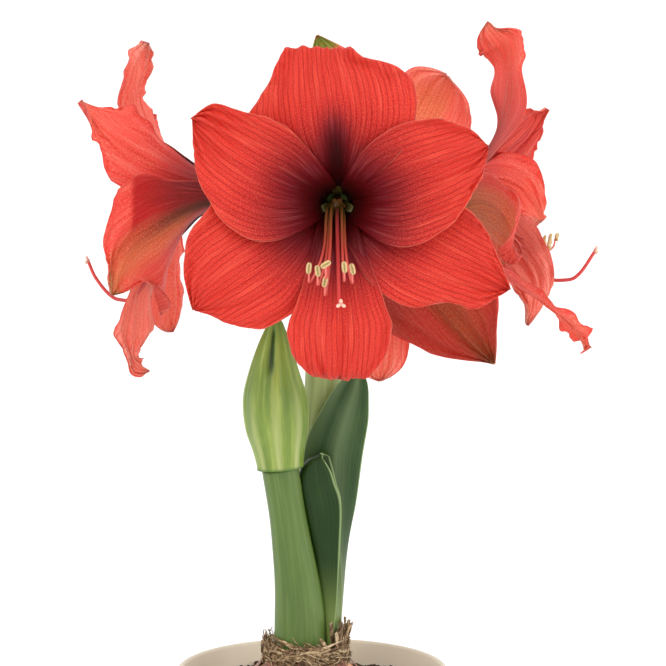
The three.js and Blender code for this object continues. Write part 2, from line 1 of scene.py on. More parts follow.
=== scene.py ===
"""A potted amaryllis in bloom, dressed for rendering: a pale pot of soil with a half buried bulb, a stalk
with four open scarlet flowers, a second stalk with a closed bud, and two strap leaves.

Sizes are in millimetres until a piece is placed. The origin is the middle of the pot's flat base, +Z is
up and the camera looks along +Y. Each flower is shaped in a frame of its own: +Z out of its mouth, +Y up.
"""
import functools
import math
import random
from dataclasses import dataclass

import bmesh
import bpy
from mathutils import Matrix, Vector, noise


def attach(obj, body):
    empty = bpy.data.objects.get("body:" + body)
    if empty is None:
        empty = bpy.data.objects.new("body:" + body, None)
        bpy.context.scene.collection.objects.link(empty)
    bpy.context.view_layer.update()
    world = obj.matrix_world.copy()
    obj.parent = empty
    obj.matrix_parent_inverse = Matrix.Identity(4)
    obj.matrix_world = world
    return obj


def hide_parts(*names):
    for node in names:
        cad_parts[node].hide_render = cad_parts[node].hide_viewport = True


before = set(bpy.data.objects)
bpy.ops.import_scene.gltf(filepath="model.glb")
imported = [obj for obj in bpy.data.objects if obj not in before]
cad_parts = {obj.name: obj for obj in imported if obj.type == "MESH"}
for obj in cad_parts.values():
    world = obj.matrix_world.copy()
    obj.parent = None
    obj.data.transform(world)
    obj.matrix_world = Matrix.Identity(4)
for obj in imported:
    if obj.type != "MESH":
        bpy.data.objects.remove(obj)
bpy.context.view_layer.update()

MM = 0.001
GAP = 0.3
X, Y, Z = Vector((1, 0, 0)), Vector((0, 1, 0)), Vector((0, 0, 1))

# Driving sizes, the same as the solid model's
POT = {"height": 135, "rim": 82, "base": 57, "wall": 3.4, "floor": 6}
SOIL_TOP = 121
BULB = {"x": -4, "y": 1, "bottom": 60, "neck_top": 152, "socket": 9}
COLLAR = {"radius": 27, "z": 146}
UMBEL = {"x": 8, "y": 14, "z": 379, "width": 11}
FLATTENED = 0.82
BUD = {"x": -19, "y": -16, "z": 260, "length": 91, "ribs": 8}
OVARY = {"radius": 6, "length": 16}
CLAW = {"outer": 5.6, "inner": 4.4}
PETAL_THICKNESS = 0.4
LEAF_THICKNESS = 1.7
VEIN_SPACING = 3.1


# Camera, light and floor
def make_camera():
    target = Vector((12.6, 0, 339.5)) * MM
    distance, elevation = 1.9, math.radians(7)
    view_width = 0.3996  # at the plant's axis
    sensor = 36
    camera = bpy.data.objects.new("camera", bpy.data.cameras.new("camera"))
    bpy.context.scene.collection.objects.link(camera)
    camera.location = target + distance * Vector((0, -math.cos(elevation), math.sin(elevation)))
    camera.rotation_euler = (math.radians(90) - elevation, 0, 0)
    camera.data.sensor_width = sensor
    camera.data.lens = sensor * distance / view_width
    bpy.context.scene.camera = camera


def soft_sun(name, azimuth, elevation, strength, spread, colour=(1, 1, 1)):
    """Even light from a wide patch of sky. Azimuth 0 is from the front and 90 from the right."""
    light = bpy.data.lights.new(name, "SUN")
    light.energy, light.angle, light.color = strength, math.radians(spread), colour
    lamp = bpy.data.objects.new(name, light)
    bpy.context.scene.collection.objects.link(lamp)
    lamp.rotation_euler = (math.radians(90 - elevation), 0, math.radians(azimuth))


def make_studio():
    bpy.context.scene.view_settings.view_transform = "Standard"
    world = bpy.data.worlds.new("studio")
    world.use_nodes = True
    background = world.node_tree.nodes["Background"]
    background.inputs["Color"].default_value = (1, 1, 1, 1)
    background.inputs["Strength"].default_value = 1.15
    bpy.context.scene.world = world
    soft_sun("key", -32, 46, 0.55, 28, (1, 0.985, 0.96))
    soft_sun("fill", 60, 12, 0.75, 60, (0.97, 0.98, 1))
    sheet = bmesh.new()
    bmesh.ops.create_grid(sheet, x_segments=2, y_segments=2, size=60)
    floor = bpy.data.objects.new("floor", bpy.data.meshes.new("floor"))
    sheet.to_mesh(floor.data)
    sheet.free()
    floor.data.materials.append(FINISHES["floor"])
    bpy.context.scene.collection.objects.link(floor)


# Finishes
def tone(red, green, blue):
    """A colour given as it looks on a screen, from 0 to 255, as the shader's linear colour."""
    share = [c / 255 for c in (red, green, blue)]
    return (*[c / 12.92 if c <= 0.04045 else ((c + 0.055) / 1.055) ** 2.4 for c in share], 1)


class Finish:
    """A new material, with short calls for the nodes of its pattern. Colours are given as for tone."""

    def __init__(self, name, **sockets):
        self.material = bpy.data.materials.new(name)
        self.material.use_nodes = True
        self.tree = self.material.node_tree
        self.shader = self.tree.nodes["Principled BSDF"]
        self.colour = None
        for socket, value in sockets.items():
            self.shader.inputs[socket.replace("_", " ")].default_value = value

    def node(self, kind, inputs, **settings):
        made = self.tree.nodes.new("ShaderNode" + kind)
        for key, value in settings.items():
            setattr(made, key, value)
        for key, value in inputs.items():
            if isinstance(value, bpy.types.NodeSocket):
                self.tree.links.new(value, made.inputs[key])
            else:
                made.inputs[key].default_value = value
        return made

    def stretched(self, vector, scale):
        return self.node("Mapping", {"Vector": vector, "Scale": scale}).outputs["Vector"]

    def place(self, stretch=(1, 1, 1)):
        """The object's own coordinates in millimetres, stretched."""
        return self.stretched(self.node("TexCoord", {}).outputs["Object"], [1000 * s for s in stretch])

    def surface(self, across=1, along=1):
        """The piece's own coordinates, across and along it."""
        return self.stretched(self.node("UVMap", {}).outputs["UV"], (across, along, 1))

    def axis(self, vector, letter):
        return self.node("SeparateXYZ", {"Vector": vector}).outputs[letter]

    def across(self):
        return self.axis(self.surface(), "X")

    def along(self):
        return self.axis(self.surface(), "Y")

    def height(self):
        return self.axis(self.place(), "Z")

    def stored(self, name):
        return self.node("Attribute", {}, attribute_name=name).outputs["Fac"]

    def noise(self, vector, scale=1.0, detail=3.0, roughness=0.55):
        inputs = {"Vector": vector, "Scale": scale, "Detail": detail, "Roughness": roughness}
        return self.node("TexNoise", inputs).outputs["Fac"]

    def math(self, operation, *values):
        return self.node("Math", dict(enumerate(values)), operation=operation).outputs["Value"]

    def times(self, first, second):
        return self.math("MULTIPLY", first, second)

    def scaled(self, value, factor, plus):
        return self.math("MULTIPLY_ADD", value, factor, plus)

    def fade(self, value, start, end, low=0.0, high=1.0):
        """Goes smoothly from low to high as value goes from start to end."""
        inputs = {"Value": value, "From Min": start, "From Max": end, "To Min": low, "To Max": high}
        return self.node("MapRange", inputs, interpolation_type="SMOOTHSTEP").outputs["Result"]

    def ramp(self, value, *stops):
        made = self.node("ValToRGB", {"Fac": value})
        elements = made.color_ramp.elements
        while len(elements) < len(stops):
            elements.new(1)
        for element, (position, colour) in zip(elements, stops):
            element.position = position
            element.color = tone(*colour)
        return made.outputs["Color"]

    def blend(self, kind, share, first, second):
        inputs = {0: share, 6: first, 7: second}
        return self.node("Mix", inputs, data_type="RGBA", blend_type=kind).outputs[2]

    def paint(self, share, colour):
        """Lays a colour over the ones so far, where share is 1."""
        colour = colour if isinstance(colour, bpy.types.NodeSocket) else tone(*colour)
        self.colour = self.blend("MIX", share, self.colour, colour)

    def tint(self, share, factors):
        """Multiplies the colours so far by a factor for each of red, green and blue."""
        self.colour = self.blend("MULTIPLY", share, self.colour, (*factors, 1))

    def lines(self, value, width):
        """1 on each whole number, falling to 0 at width from it."""
        return self.fade(self.math("PINGPONG", value, 0.5), 0.0, width, 1.0, 0.0)

    def done(self, height=None, depth=0.3, roughness=None):
        """Joins the pattern to the shader. depth is the relief's height in millimetres."""
        self.tree.links.new(self.colour, self.shader.inputs["Base Color"])
        if roughness is not None:
            self.tree.links.new(roughness, self.shader.inputs["Roughness"])
        if height is not None:
            bump = self.node("Bump", {"Height": height, "Distance": depth * MM, "Strength": 1.0})
            self.tree.links.new(bump.outputs["Normal"], self.shader.inputs["Normal"])
        return self.material


def petal_veins(finish, grain=(4.6, 1.7)):
    """The lengthwise veins of a petal, the finer ones between them, its cells, and streaks along it."""
    count = finish.stored("vein")
    sheet = finish.node("CombineXYZ", {"X": count, "Y": finish.stored("along")}).outputs["Vector"]

    def uneven(across, along, detail=2.0, roughness=0.55):
        return finish.noise(finish.stretched(sheet, (across, along, 1)), 1.0, detail, roughness)

    count = finish.math("ADD", count, finish.scaled(uneven(0.3, 0.05), 0.9, -0.45))
    strength = uneven(1.1, 0.06)
    main = finish.times(finish.lines(count, 0.15), finish.fade(strength, 0.3, 0.6, 0.35, 1))
    between = finish.lines(finish.scaled(count, 3.0, 0.5), 0.3)
    fine = finish.times(between, finish.fade(strength, 0.4, 0.7, 1, 0.2))
    return main, fine, uneven(*grain, roughness=0.6), uneven(0.8, 0.022, 3.0)


def petal_inside(name, lighter):
    """The upper face of a petal: scarlet with darker veins, near black in the throat."""
    finish = Finish(
        name, Roughness=0.4, Specular_IOR_Level=0.2, Subsurface_Weight=0.3, Subsurface_Scale=0.0015,
        Subsurface_Radius=(1, 0.3, 0.2),
    )
    main, fine, cells, streaks = petal_veins(finish)
    depth = finish.stored("depth")
    # lighter raises green and blue: painted light, for the side flowers' copy
    finish.colour = finish.ramp(
        depth, (0.0, (54, 1, 3)), (0.13, (77, 4, 8)), (0.26, (100, 8, 17)), (0.38, (121, 14, 25)),
        (0.5, (144, 22, 29)), (0.65, (174, 32 + lighter, 31 + lighter)),
        (0.83, (201, 40 + lighter, 33 + lighter)), (1.0, (214, 51 + lighter, 38 + lighter)),
    )
    lit = finish.fade(depth, 0.3, 0.75)
    # paler streaks out from the throat: partly the petal's own streaks, partly painted highlights
    light_streaks = finish.times(finish.fade(streaks, 0.5, 0.78, 0, 0.55), lit)
    finish.paint(light_streaks, (246, 100 + lighter, 76 + lighter))
    dark_streaks = finish.fade(streaks, 0.28, 0.46, 0.45, 0)
    finish.tint(dark_streaks, (0.62, 0.36, 0.38))
    sparkle = finish.times(finish.fade(cells, 0.48, 0.7, 0, 0.42), lit)
    finish.paint(sparkle, (255, 124, 100))
    finish.tint(finish.fade(cells, 0.28, 0.45, 0.35, 0), (0.75, 0.6, 0.6))
    finish.tint(finish.times(main, 0.7), (0.46, 0.1, 0.12))
    finish.tint(finish.times(fine, 0.5), (0.66, 0.3, 0.32))
    ring = finish.times(finish.fade(depth, 0.2, 0.34), finish.fade(depth, 0.42, 0.62, 1, 0))
    glints = finish.times(finish.times(fine, ring), finish.fade(streaks, 0.45, 0.7, 0, 0.6))
    finish.paint(glints, (222, 128, 130))
    # painted highlight: a pale line along the lit part of the margin
    rim = finish.times(finish.fade(finish.stored("margin"), 0.97, 1.0, 0, 0.25), lit)
    finish.paint(rim, (250, 150, 125))
    height = finish.scaled(main, -0.7, finish.scaled(fine, -0.3, cells))
    return finish.done(height, 0.45, finish.fade(cells, 0.3, 0.7, 0.5, 0.34))


def petal_outside():
    """The under face of a petal: salmon pink, with an olive band down the midrib and a green foot."""
    finish = Finish(
        "petal_outside", Roughness=0.45, Specular_IOR_Level=0.2, Subsurface_Weight=0.55,
        Subsurface_Scale=0.0025, Subsurface_Radius=(1, 0.4, 0.3),
    )
    main, fine, cells, streaks = petal_veins(finish, (3.3, 1.2))
    depth = finish.along()
    middle = finish.math("ABSOLUTE", finish.stored("vein"))
    finish.colour = finish.ramp(
        depth, (0.0, (112, 112, 50)), (0.1, (132, 66, 44)), (0.25, (132, 42, 44)), (0.4, (172, 50, 50)),
        (0.55, (224, 70, 60)), (0.78, (250, 93, 80)), (1.0, (252, 108, 92)),
    )
    finish.paint(finish.fade(streaks, 0.48, 0.72, 0, 0.5), (252, 138, 118))
    finish.tint(finish.fade(streaks, 0.28, 0.46, 0.55, 0), (0.86, 0.5, 0.48))
    # painted light: a paler salmon on petals that lie in shade or face away from the lamps
    pale = finish.times(finish.stored("pale"), finish.fade(depth, 0.2, 0.5))
    finish.paint(pale, (255, 148, 132))
    spread = finish.scaled(streaks, 3.0, 2.6)
    band = finish.fade(finish.math("DIVIDE", middle, spread), 0.2, 1.0, 1, 0)
    olive = finish.ramp(
        depth, (0.0, (84, 84, 34)), (0.25, (80, 40, 26)), (0.5, (98, 52, 30)),
        (0.7, (186, 92, 54)), (0.85, (220, 112, 76)), (1.0, (184, 128, 78)),
    )
    finish.paint(finish.times(band, finish.stored("olive")), olive)
    golden = finish.times(finish.stored("gold"), finish.fade(fine, 0.0, 1.0, 0.9, 0.45))
    gold = finish.ramp(cells, (0.3, (190, 108, 58)), (0.7, (230, 158, 102)))
    finish.paint(golden, gold)
    # painted shade: darker maroon where shade falls between the petals, with the paler mottling kept out
    # of it
    finish.tint(finish.stored("flush"), (0.56, 0.2, 0.26))
    finish.tint(finish.times(main, 0.6), (0.76, 0.4, 0.38))
    finish.tint(finish.times(fine, 0.35), (0.82, 0.5, 0.5))
    reach = finish.scaled(finish.stored("flush"), -0.3, depth)
    lit = finish.fade(reach, 0.35, 0.6, 0.1, 1)
    finish.paint(finish.times(lit, finish.fade(cells, 0.5, 0.7, 0, 0.5)), (255, 158, 136))
    finish.paint(finish.times(lit, finish.fade(cells, 0.3, 0.48, 0.6, 0)), (236, 62, 48))
    # painted shadow: darker where a petal lies in shadow
    finish.tint(finish.times(finish.stored("dusky"), 0.75), (0.36, 0.3, 0.26))
    tip = finish.fade(finish.scaled(finish.stored("olive"), 0.04, depth), 1.02, 1.05)
    finish.paint(tip, (128, 150, 66))
    # painted shade: a darker line along the margin
    rim = finish.fade(finish.stored("margin"), 0.93, 0.985, 0, 0.6)
    finish.paint(rim, (196, 58, 50))
    height = finish.scaled(main, 0.7, finish.scaled(fine, 0.3, cells))
    return finish.done(height, 0.5)


def streaked(name, dark, body, light, bloom, around, roughness):
    """A stem or bud: lengthwise streaks round it, from dark to light, under a pale waxy bloom."""
    finish = Finish(
        name, Roughness=roughness, Subsurface_Weight=0.08, Subsurface_Scale=0.002,
        Subsurface_Radius=(0.5, 1, 0.3),
    )
    streaks = finish.noise(finish.surface(around, 1.2), 1.0, 4.0, 0.6)
    hairlines = finish.noise(finish.surface(around * 6, 2.0), 1.0, 3.0, 0.6)
    patches = finish.noise(finish.place((1, 1, 0.35)), 0.06)
    finish.colour = finish.ramp(streaks, (0.28, dark), (0.5, body), (0.72, light))
    finish.paint(finish.fade(hairlines, 0.5, 0.75, 0, 0.35), light)
    finish.paint(finish.fade(patches, 0.4, 0.8, 0, 0.45), bloom)
    return finish, finish.scaled(streaks, 1.5, hairlines)


STREAK_RELIEF = 0.12


def stem_finish(*looks):
    finish, height = streaked(*looks)
    return finish.done(height, STREAK_RELIEF)


def bud_finish():
    """Striped green, paler on the ribs and darker along the foot's rim, with painted shade in the cleft
    and at the tip.
    """
    finish, height = streaked(
        "bud", (72, 105, 24), (110, 136, 44), (166, 182, 88), (156, 175, 82), 16, 0.4,
    )
    along = finish.along()
    rib = finish.lines(finish.times(finish.across(), BUD["ribs"]), 0.3)
    finish.paint(finish.times(rib, finish.fade(along, 0.1, 0.8, 0.5, 0)), (196, 200, 136))
    # painted shade in the cleft
    finish.paint(finish.stored("cleft"), (34, 66, 22))
    # painted shade at the tip, which lies under the front flower
    finish.paint(finish.fade(along, 0.8, 1.0, 0, 0.7), (84, 118, 42))
    finish.paint(finish.fade(along, 0.0, 0.03, 0.85, 0), (70, 104, 34))
    return finish.done(height, STREAK_RELIEF)


def leaf_finish(name, gloss_side, bloom, dark, body, light):
    """Dark blue-green, with fine parallel veins, a paler margin and foot, and painted sheen in a band and
    along one edge.
    """
    finish = Finish(
        name, Roughness=0.42, Specular_IOR_Level=0.25, Subsurface_Weight=0.05, Subsurface_Scale=0.002,
        Subsurface_Radius=(0.4, 1, 0.3),
    )
    veins = finish.noise(finish.surface(34, 1.0), 1.0, 3.0, 0.6)
    patches = finish.noise(finish.place((1, 1, 0.4)), 0.05)
    finish.colour = finish.ramp(veins, (0.3, dark), (0.55, body), (0.8, light))
    finish.paint(finish.fade(patches, 0.4, 0.8, 0, 0.4 * bloom), (80, 104, 62))
    # painted sheen: a paler band where the leaf catches the light, and paler along one edge; bloom sets
    # its strength
    across = finish.across()
    from_band = finish.math("ABSOLUTE", finish.math("SUBTRACT", across, gloss_side))
    finish.paint(finish.fade(from_band, 0.0, 0.26, 0.34 * bloom, 0), (128, 148, 104))
    finish.paint(finish.fade(across, 0.02, 0.3, 0.4 * bloom, 0), (126, 148, 108))
    finish.paint(finish.fade(finish.along(), 0.0, 0.25, 0.8, 0), (140, 160, 84))
    rim = finish.fade(finish.stored("margin"), 0.93, 0.99, 0, 0.8)
    finish.paint(rim, (150, 174, 116))
    return finish.done(veins, 0.12)


def anther_finish():
    """Cream pollen sacs with an olive furrow."""
    finish = Finish("anther", Roughness=0.75)
    grains = finish.noise(finish.place(), 2.2, 2.0)
    furrow = finish.lines(finish.scaled(finish.across(), 2.0, 0.5), 0.24)
    share = finish.fade(grains, 0.3, 0.7)
    finish.colour = finish.blend("MIX", share, tone(200, 164, 104), tone(230, 206, 154))
    finish.paint(finish.times(furrow, 0.8), (132, 112, 56))
    return finish.done(grains, 0.2)


def filament_finish(name, foot, body, end):
    """Waxy pink, green at the foot."""
    finish = Finish(name, Roughness=0.35, Subsurface_Weight=0.15, Subsurface_Scale=0.001)
    finish.colour = finish.ramp(finish.along(), (0.0, foot), (0.22, foot), (0.45, body), (1.0, end))
    return finish.done()


def corona_finish():
    """The throat's scales: olive, paler at their tips."""
    finish = Finish("corona", Roughness=0.5)
    finish.colour = finish.ramp(
        finish.along(), (0.0, (56, 46, 12)), (0.45, (84, 74, 26)), (0.8, (118, 112, 60)),
        (1.0, (158, 160, 118)),
    )
    return finish.done()


def bulb_finish():
    """The bulb's smooth inner skin: cream and orange-tan, with fine upright veins."""
    finish = Finish("bulb_skin", Roughness=0.4)
    veins = finish.noise(finish.surface(46, 1.5), 1.0, 4.0, 0.6)
    patches = finish.noise(finish.place((1, 1, 0.4)), 0.045)
    finish.colour = finish.ramp(
        veins, (0.3, (184, 116, 66)), (0.5, (220, 164, 110)), (0.75, (242, 208, 160)),
    )
    finish.paint(finish.fade(patches, 0.45, 0.7, 0, 0.6), (176, 104, 62))
    height = finish.scaled(patches, 8, finish.height())
    neck = finish.fade(height, BULB["neck_top"] - 10, BULB["neck_top"] - 1)
    finish.paint(neck, (86, 92, 44))
    return finish.done(veins, 0.15)


def dry_skin_finish(name, dark, body, light, roughness):
    """Papery dry skin with streaks along each flake. Its pale value lightens or darkens a flake."""
    finish = Finish(name, Roughness=roughness)
    streaks = finish.noise(finish.surface(9, 1.5), 1.0, 4.0, 0.65)
    patches = finish.noise(finish.place(), 0.3, 3.0)
    finish.colour = finish.ramp(streaks, (0.28, dark), (0.5, body), (0.7, light))
    finish.paint(finish.fade(patches, 0.35, 0.55, 0.7, 0), dark)
    finish.paint(finish.fade(patches, 0.52, 0.68, 0, 0.7), light)
    shade = finish.stored("pale")
    finish.paint(finish.fade(shade, -1, -0.1, 0.75, 0), dark)
    finish.paint(finish.fade(shade, 0.1, 1, 0, 0.7), light)
    return finish.done(streaks, 0.25)


def soil_finish():
    finish = Finish("soil", Roughness=0.95)
    grains = finish.noise(finish.place(), 0.5, 5.0, 0.65)
    finish.colour = finish.ramp(grains, (0.25, (26, 18, 12)), (0.5, (62, 44, 30)), (0.75, (112, 84, 58)))
    return finish.done(grains, 1.0)


def pot_finish():
    """Cream glaze, a little uneven, worn grey along the lip."""
    finish = Finish("pot_glaze", Roughness=0.4, Coat_Weight=0.15)
    patches = finish.noise(finish.place(), 0.02, 3.0)
    specks = finish.noise(finish.place(), 0.9, 2.0)
    finish.colour = finish.ramp(patches, (0.3, (221, 206, 182)), (0.7, (232, 219, 198)))
    finish.paint(finish.fade(specks, 0.66, 0.76, 0, 0.25), (170, 150, 122))
    lip = finish.fade(finish.height(), POT["height"] - 0.9, POT["height"] - 0.2, 0, 0.35)
    finish.paint(lip, (176, 164, 146))
    return finish.done(patches, 0.2, finish.fade(patches, 0.3, 0.7, 0.34, 0.48))


def floor_finish():
    finish = Finish("floor", Roughness=0.9)
    speckle = finish.noise(finish.place(), 0.02, 2.0)
    finish.colour = finish.blend("MIX", speckle, (0.92, 0.92, 0.92, 1), (0.94, 0.94, 0.94, 1))
    return finish.done()


FINISHES = {
    "floor": floor_finish(),
    "petal": petal_inside("petal_scarlet", 0),
    # The side flowers' copy of the scarlet, lighter in green and blue: painted light
    "side_petal": petal_inside("petal_scarlet_painted_lighter", 14),
    "petal_outside": petal_outside(),
    "stalk": stem_finish(
        "flowering_stalk", (132, 152, 84), (158, 176, 110), (182, 197, 138), (182, 196, 148), 18, 0.5,
    ),
    "bud_stalk": stem_finish(
        "bud_stalk", (70, 95, 34), (86, 112, 45), (104, 128, 60), (112, 133, 72), 20, 0.45,
    ),
    "flower_stem": stem_finish(
        "flower_stem", (92, 120, 52), (126, 150, 72), (158, 168, 96), (150, 150, 90), 10, 0.45,
    ),
    "bud": bud_finish(),
    "large_leaf": leaf_finish("large_leaf", 0.56, 1, (32, 56, 24), (46, 74, 32), (68, 94, 48)),
    "short_leaf": leaf_finish("short_leaf", 0.1, 0.2, (20, 42, 5), (26, 55, 8), (37, 70, 14)),
    "anther": anther_finish(),
    "filament": filament_finish("filament", (104, 78, 28), (196, 74, 62), (240, 126, 116)),
    "style": filament_finish("style", (120, 74, 40), (196, 66, 66), (222, 72, 66)),
    "stigma": filament_finish("stigma", (226, 160, 140), (238, 186, 164), (244, 200, 178)),
    "hub": filament_finish("hub", (60, 46, 14), (84, 62, 20), (112, 74, 30)),
    "corona": corona_finish(),
    "bulb": bulb_finish(),
    "skin_plate": dry_skin_finish("bulb_outer_skin", (76, 36, 16), (122, 62, 30), (170, 108, 62), 0.4),
    "dry_skin": dry_skin_finish("dry_skin", (66, 42, 22), (148, 112, 72), (232, 206, 164), 0.8),
    "bract": dry_skin_finish("withered_bract", (128, 96, 54), (176, 144, 96), (208, 184, 138), 0.7),
    "soil": soil_finish(),
    "pot": pot_finish(),
}


# Shaping helpers
def mix(a, b, share):
    return a + (b - a) * share


def smooth(value, start, end):
    share = min(max((value - start) / (end - start), 0), 1)
    return share * share * (3 - 2 * share)


def spline(points):
    """A smooth curve through points, as a function of a share from 0 to 1 of the way along it."""
    knots = [Vector(point) for point in points]
    knots = [2 * knots[0] - knots[1], *knots, 2 * knots[-1] - knots[-2]]
    spans = len(knots) - 3

    def at(share):
        place = min(max(share, 0), 1) * spans
        first = min(int(place), spans - 1)
        t = place - first
        before, start, end, after = knots[first:first + 4]
        leave, arrive = (end - before) / 2, (after - start) / 2
        bend = 3 * (end - start) - 2 * leave - arrive
        return start + leave * t + bend * t ** 2 + (2 * (start - end) + leave + arrive) * t ** 3

    return at


def profile(*values):
    """A smooth function of a share from 0 to 1 through evenly spaced values."""
    curve = spline([(value, i) for i, value in enumerate(values)])
    return lambda share: curve(share).x


def tangent(curve, share):
    step = 1e-4
    return (curve(min(share + step, 1)) - curve(max(share - step, 0))).normalized()


def polar(radius, angle, centre=(0, 0)):
    return centre[0] + radius * math.cos(angle), centre[1] + radius * math.sin(angle)


def heading(angle):
    return Vector((*polar(1, angle), 0))


def lump(x, y, z):
    return noise.noise(Vector((x, y, z)))


def grid(columns, rows):
    """A flat grid, with its map across and along it. A vertex's x and y run from -1 to 1."""
    made = bmesh.new()
    bmesh.ops.create_grid(made, x_segments=columns, y_segments=rows, size=1)
    unwrap = made.loops.layers.uv.new("UVMap")
    for face in made.faces:
        for loop in face.loops:
            loop[unwrap].uv = [(c + 1) / 2 for c in loop.vert.co.xy]
    return made


def strip(stations, across, section, tip=lambda s, u: 1, ripple=lambda s, u: 0, rise_to=None):
    """The surface about a midrib through stations of x, y, z, two half widths and a turn.

    It rises at right angles to the midrib and to across, or towards rise_to.
    """
    curve = spline([[*station, 0][:6] for station in stations])

    @functools.cache
    def frame_at(s):
        row = curve(s)
        along = tangent(lambda share: curve(share).xyz, s)
        side = (across - along * across.dot(along)).normalized()
        side.rotate(Matrix.Rotation(math.radians(row[5]), 3, along))
        return row.xyz, side, rise_to or along.cross(side), row[3], row[4]

    def at(s, u):
        place, side, inward, before, after = frame_at(s)
        arc = u * (before if u < 0 else after) * tip(s, u)
        sideways, rise = section(s, arc, place)
        return place + side * sideways + inward * (rise + ripple(s, u))

    at.arc = lambda s, u: u * frame_at(s)[3 if u < 0 else 4] * tip(s, u)
    return at


def arched(arc, curvature):
    return math.sin(curvature * arc) / curvature, (1 - math.cos(curvature * arc)) / curvature


def arched_by(curvature):
    return lambda s, arc, place: arched(arc, curvature)


def round_ends(s):
    return math.sqrt(max(1 - (2 * s - 1) ** 4, 0.01))


def round_tip(s, start):
    return max((1 - max(0, (s - start) / (1 - start)) ** 2.2) ** 0.7, 0.06)


def taper(start, end):
    """The half width and half depth of a round rod that goes evenly from one girth to another."""
    return lambda s: [mix(start, end, s)] * 2


def oval(width, blunt):
    """The half width and half depth of a flattened rod with a rounded tip."""
    return lambda s: [share * width(s) * round_tip(s, blunt) for share in (1, FLATTENED)]


BLADE_VALUES = ("margin", "vein", "along", "depth", "olive", "pale", "dusky", "gold", "flush")


def rolled(vertex):
    """A grid vertex's turn round the rolled up grid, and its share of the way along it."""
    return math.pi * (vertex.co.x + 1), (vertex.co.y + 1) / 2


def blade(surface, columns, rows, to_world=Matrix(), stored=None):
    """A thin sheet on a surface, its upper face first. stored gives values to keep at each point."""
    made = grid(columns, rows)
    layers = {name: made.verts.layers.float.new(name) for name in BLADE_VALUES}
    for vertex in made.verts:
        u, s = vertex.co.x, (vertex.co.y + 1) / 2
        values = {"margin": max(abs(u), smooth(s, 0.9, 1.0)), **(stored(s, u) if stored else {})}
        for name, value in values.items():
            vertex[layers[name]] = value
        vertex.co = to_world @ surface(s, u) * MM
    bmesh.ops.reverse_faces(made, faces=made.faces)
    return made


def tube(points, girth, rows, sides, across=X, flute=lambda s, turn: 0, to_world=Matrix(), stored=None):
    """A solid rod along a curve through points, with a half width and half depth at each share."""
    made = grid(sides, rows)
    curve = spline(points)
    layer = made.verts.layers.float.new(stored[0]) if stored else None
    for vertex in made.verts:
        turn, s = rolled(vertex)
        if stored:
            vertex[layer] = stored[1](s, turn)
        along = tangent(curve, s)
        side = (across - along * across.dot(along)).normalized()
        width, depth = girth(s)
        swell = flute(s, turn)
        place = curve(s) + side * (width + swell) * math.cos(turn)
        vertex.co = to_world @ (place + along.cross(side) * (depth + swell) * math.sin(turn)) * MM
    close(made)
    return made


def close(made):
    """Joins a rolled up grid's seam and closes its two ends."""
    bmesh.ops.remove_doubles(made, verts=made.verts, dist=0.01 * MM)
    ends = [edge for edge in made.edges if edge.is_boundary]
    bmesh.ops.holes_fill(made, edges=ends, sides=0)
    bmesh.ops.recalc_face_normals(made, faces=made.faces)


def gather(parts):
    """One mesh of several."""
    made = bmesh.new()
    for part in parts:
        scratch = bpy.data.meshes.new("scratch")
        part.to_mesh(scratch)
        part.free()
        made.from_mesh(scratch)
        bpy.data.meshes.remove(scratch)
    return made


def add_piece(name, made, finishes, nodes, thickness=None):
    """Adds a piece that stands for nodes. A sheet gets its thickness and its second finish underneath."""
    mesh = bpy.data.meshes.new(name)
    made.to_mesh(mesh)
    made.free()
    mesh.shade_smooth()
    for finish in finishes:
        mesh.materials.append(FINISHES[finish])
    piece = bpy.data.objects.new(name, mesh)
    bpy.context.scene.collection.objects.link(piece)
    if thickness:
        wall = piece.modifiers.new("thickness", "SOLIDIFY")
        wall.thickness, wall.offset = thickness * MM, 0
        wall.material_offset = len(finishes) - 1
    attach(piece, "root")
    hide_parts(*nodes)
    return piece


# Flowers
@dataclass
class Petal:
    """A petal's foot lies on the tube at an angle, and its stations run from the throat to the tip.

    gold is a golden patch on its under face, with a patch of painted shade. Each starts with its
    strength.
    pale is painted light on the under face of a petal in shade; below 0 it is painted shadow.
    """
    label: str
    angle: float
    inside: bool
    cup: float
    ruffle: float
    waves: float
    phase: float
    stations: list
    flame: float = 3
    shade: float = 4
    olive: float = 0.6
    frill: float = 0.35
    blunt: float = 0.8
    ragged: float = 0.05
    pale: float = 0
    face: str = ""
    gold: tuple = (0, 0, 0)
    flush: tuple = (0, 0, 1, 0)


@dataclass
class Flower:
    """Its place and heading, its petals, and the stations of its style's free end.

    lift, aside and back move the filaments from where the front flower has them.
    """
    name: str
    at: tuple
    yaw: float
    pitch: float
    finish: str
    petals: list
    style: list
    lift: float = 0
    aside: float = 0
    back: float = 0

    def part(self, label):
        return f"{self.name}_flower_{label}"

    def to_world(self):
        """From the flower's own frame to the plant's, in millimetres."""
        yaw, pitch = math.radians(self.yaw), math.radians(self.pitch)
        level = math.cos(pitch)
        mouth = Vector((math.sin(yaw) * level, -math.cos(yaw) * level, math.sin(pitch)))
        right = Z.cross(mouth).normalized()
        turned = Matrix((right, mouth.cross(right), mouth)).transposed().to_4x4()
        return Matrix.Translation(self.at) @ turned


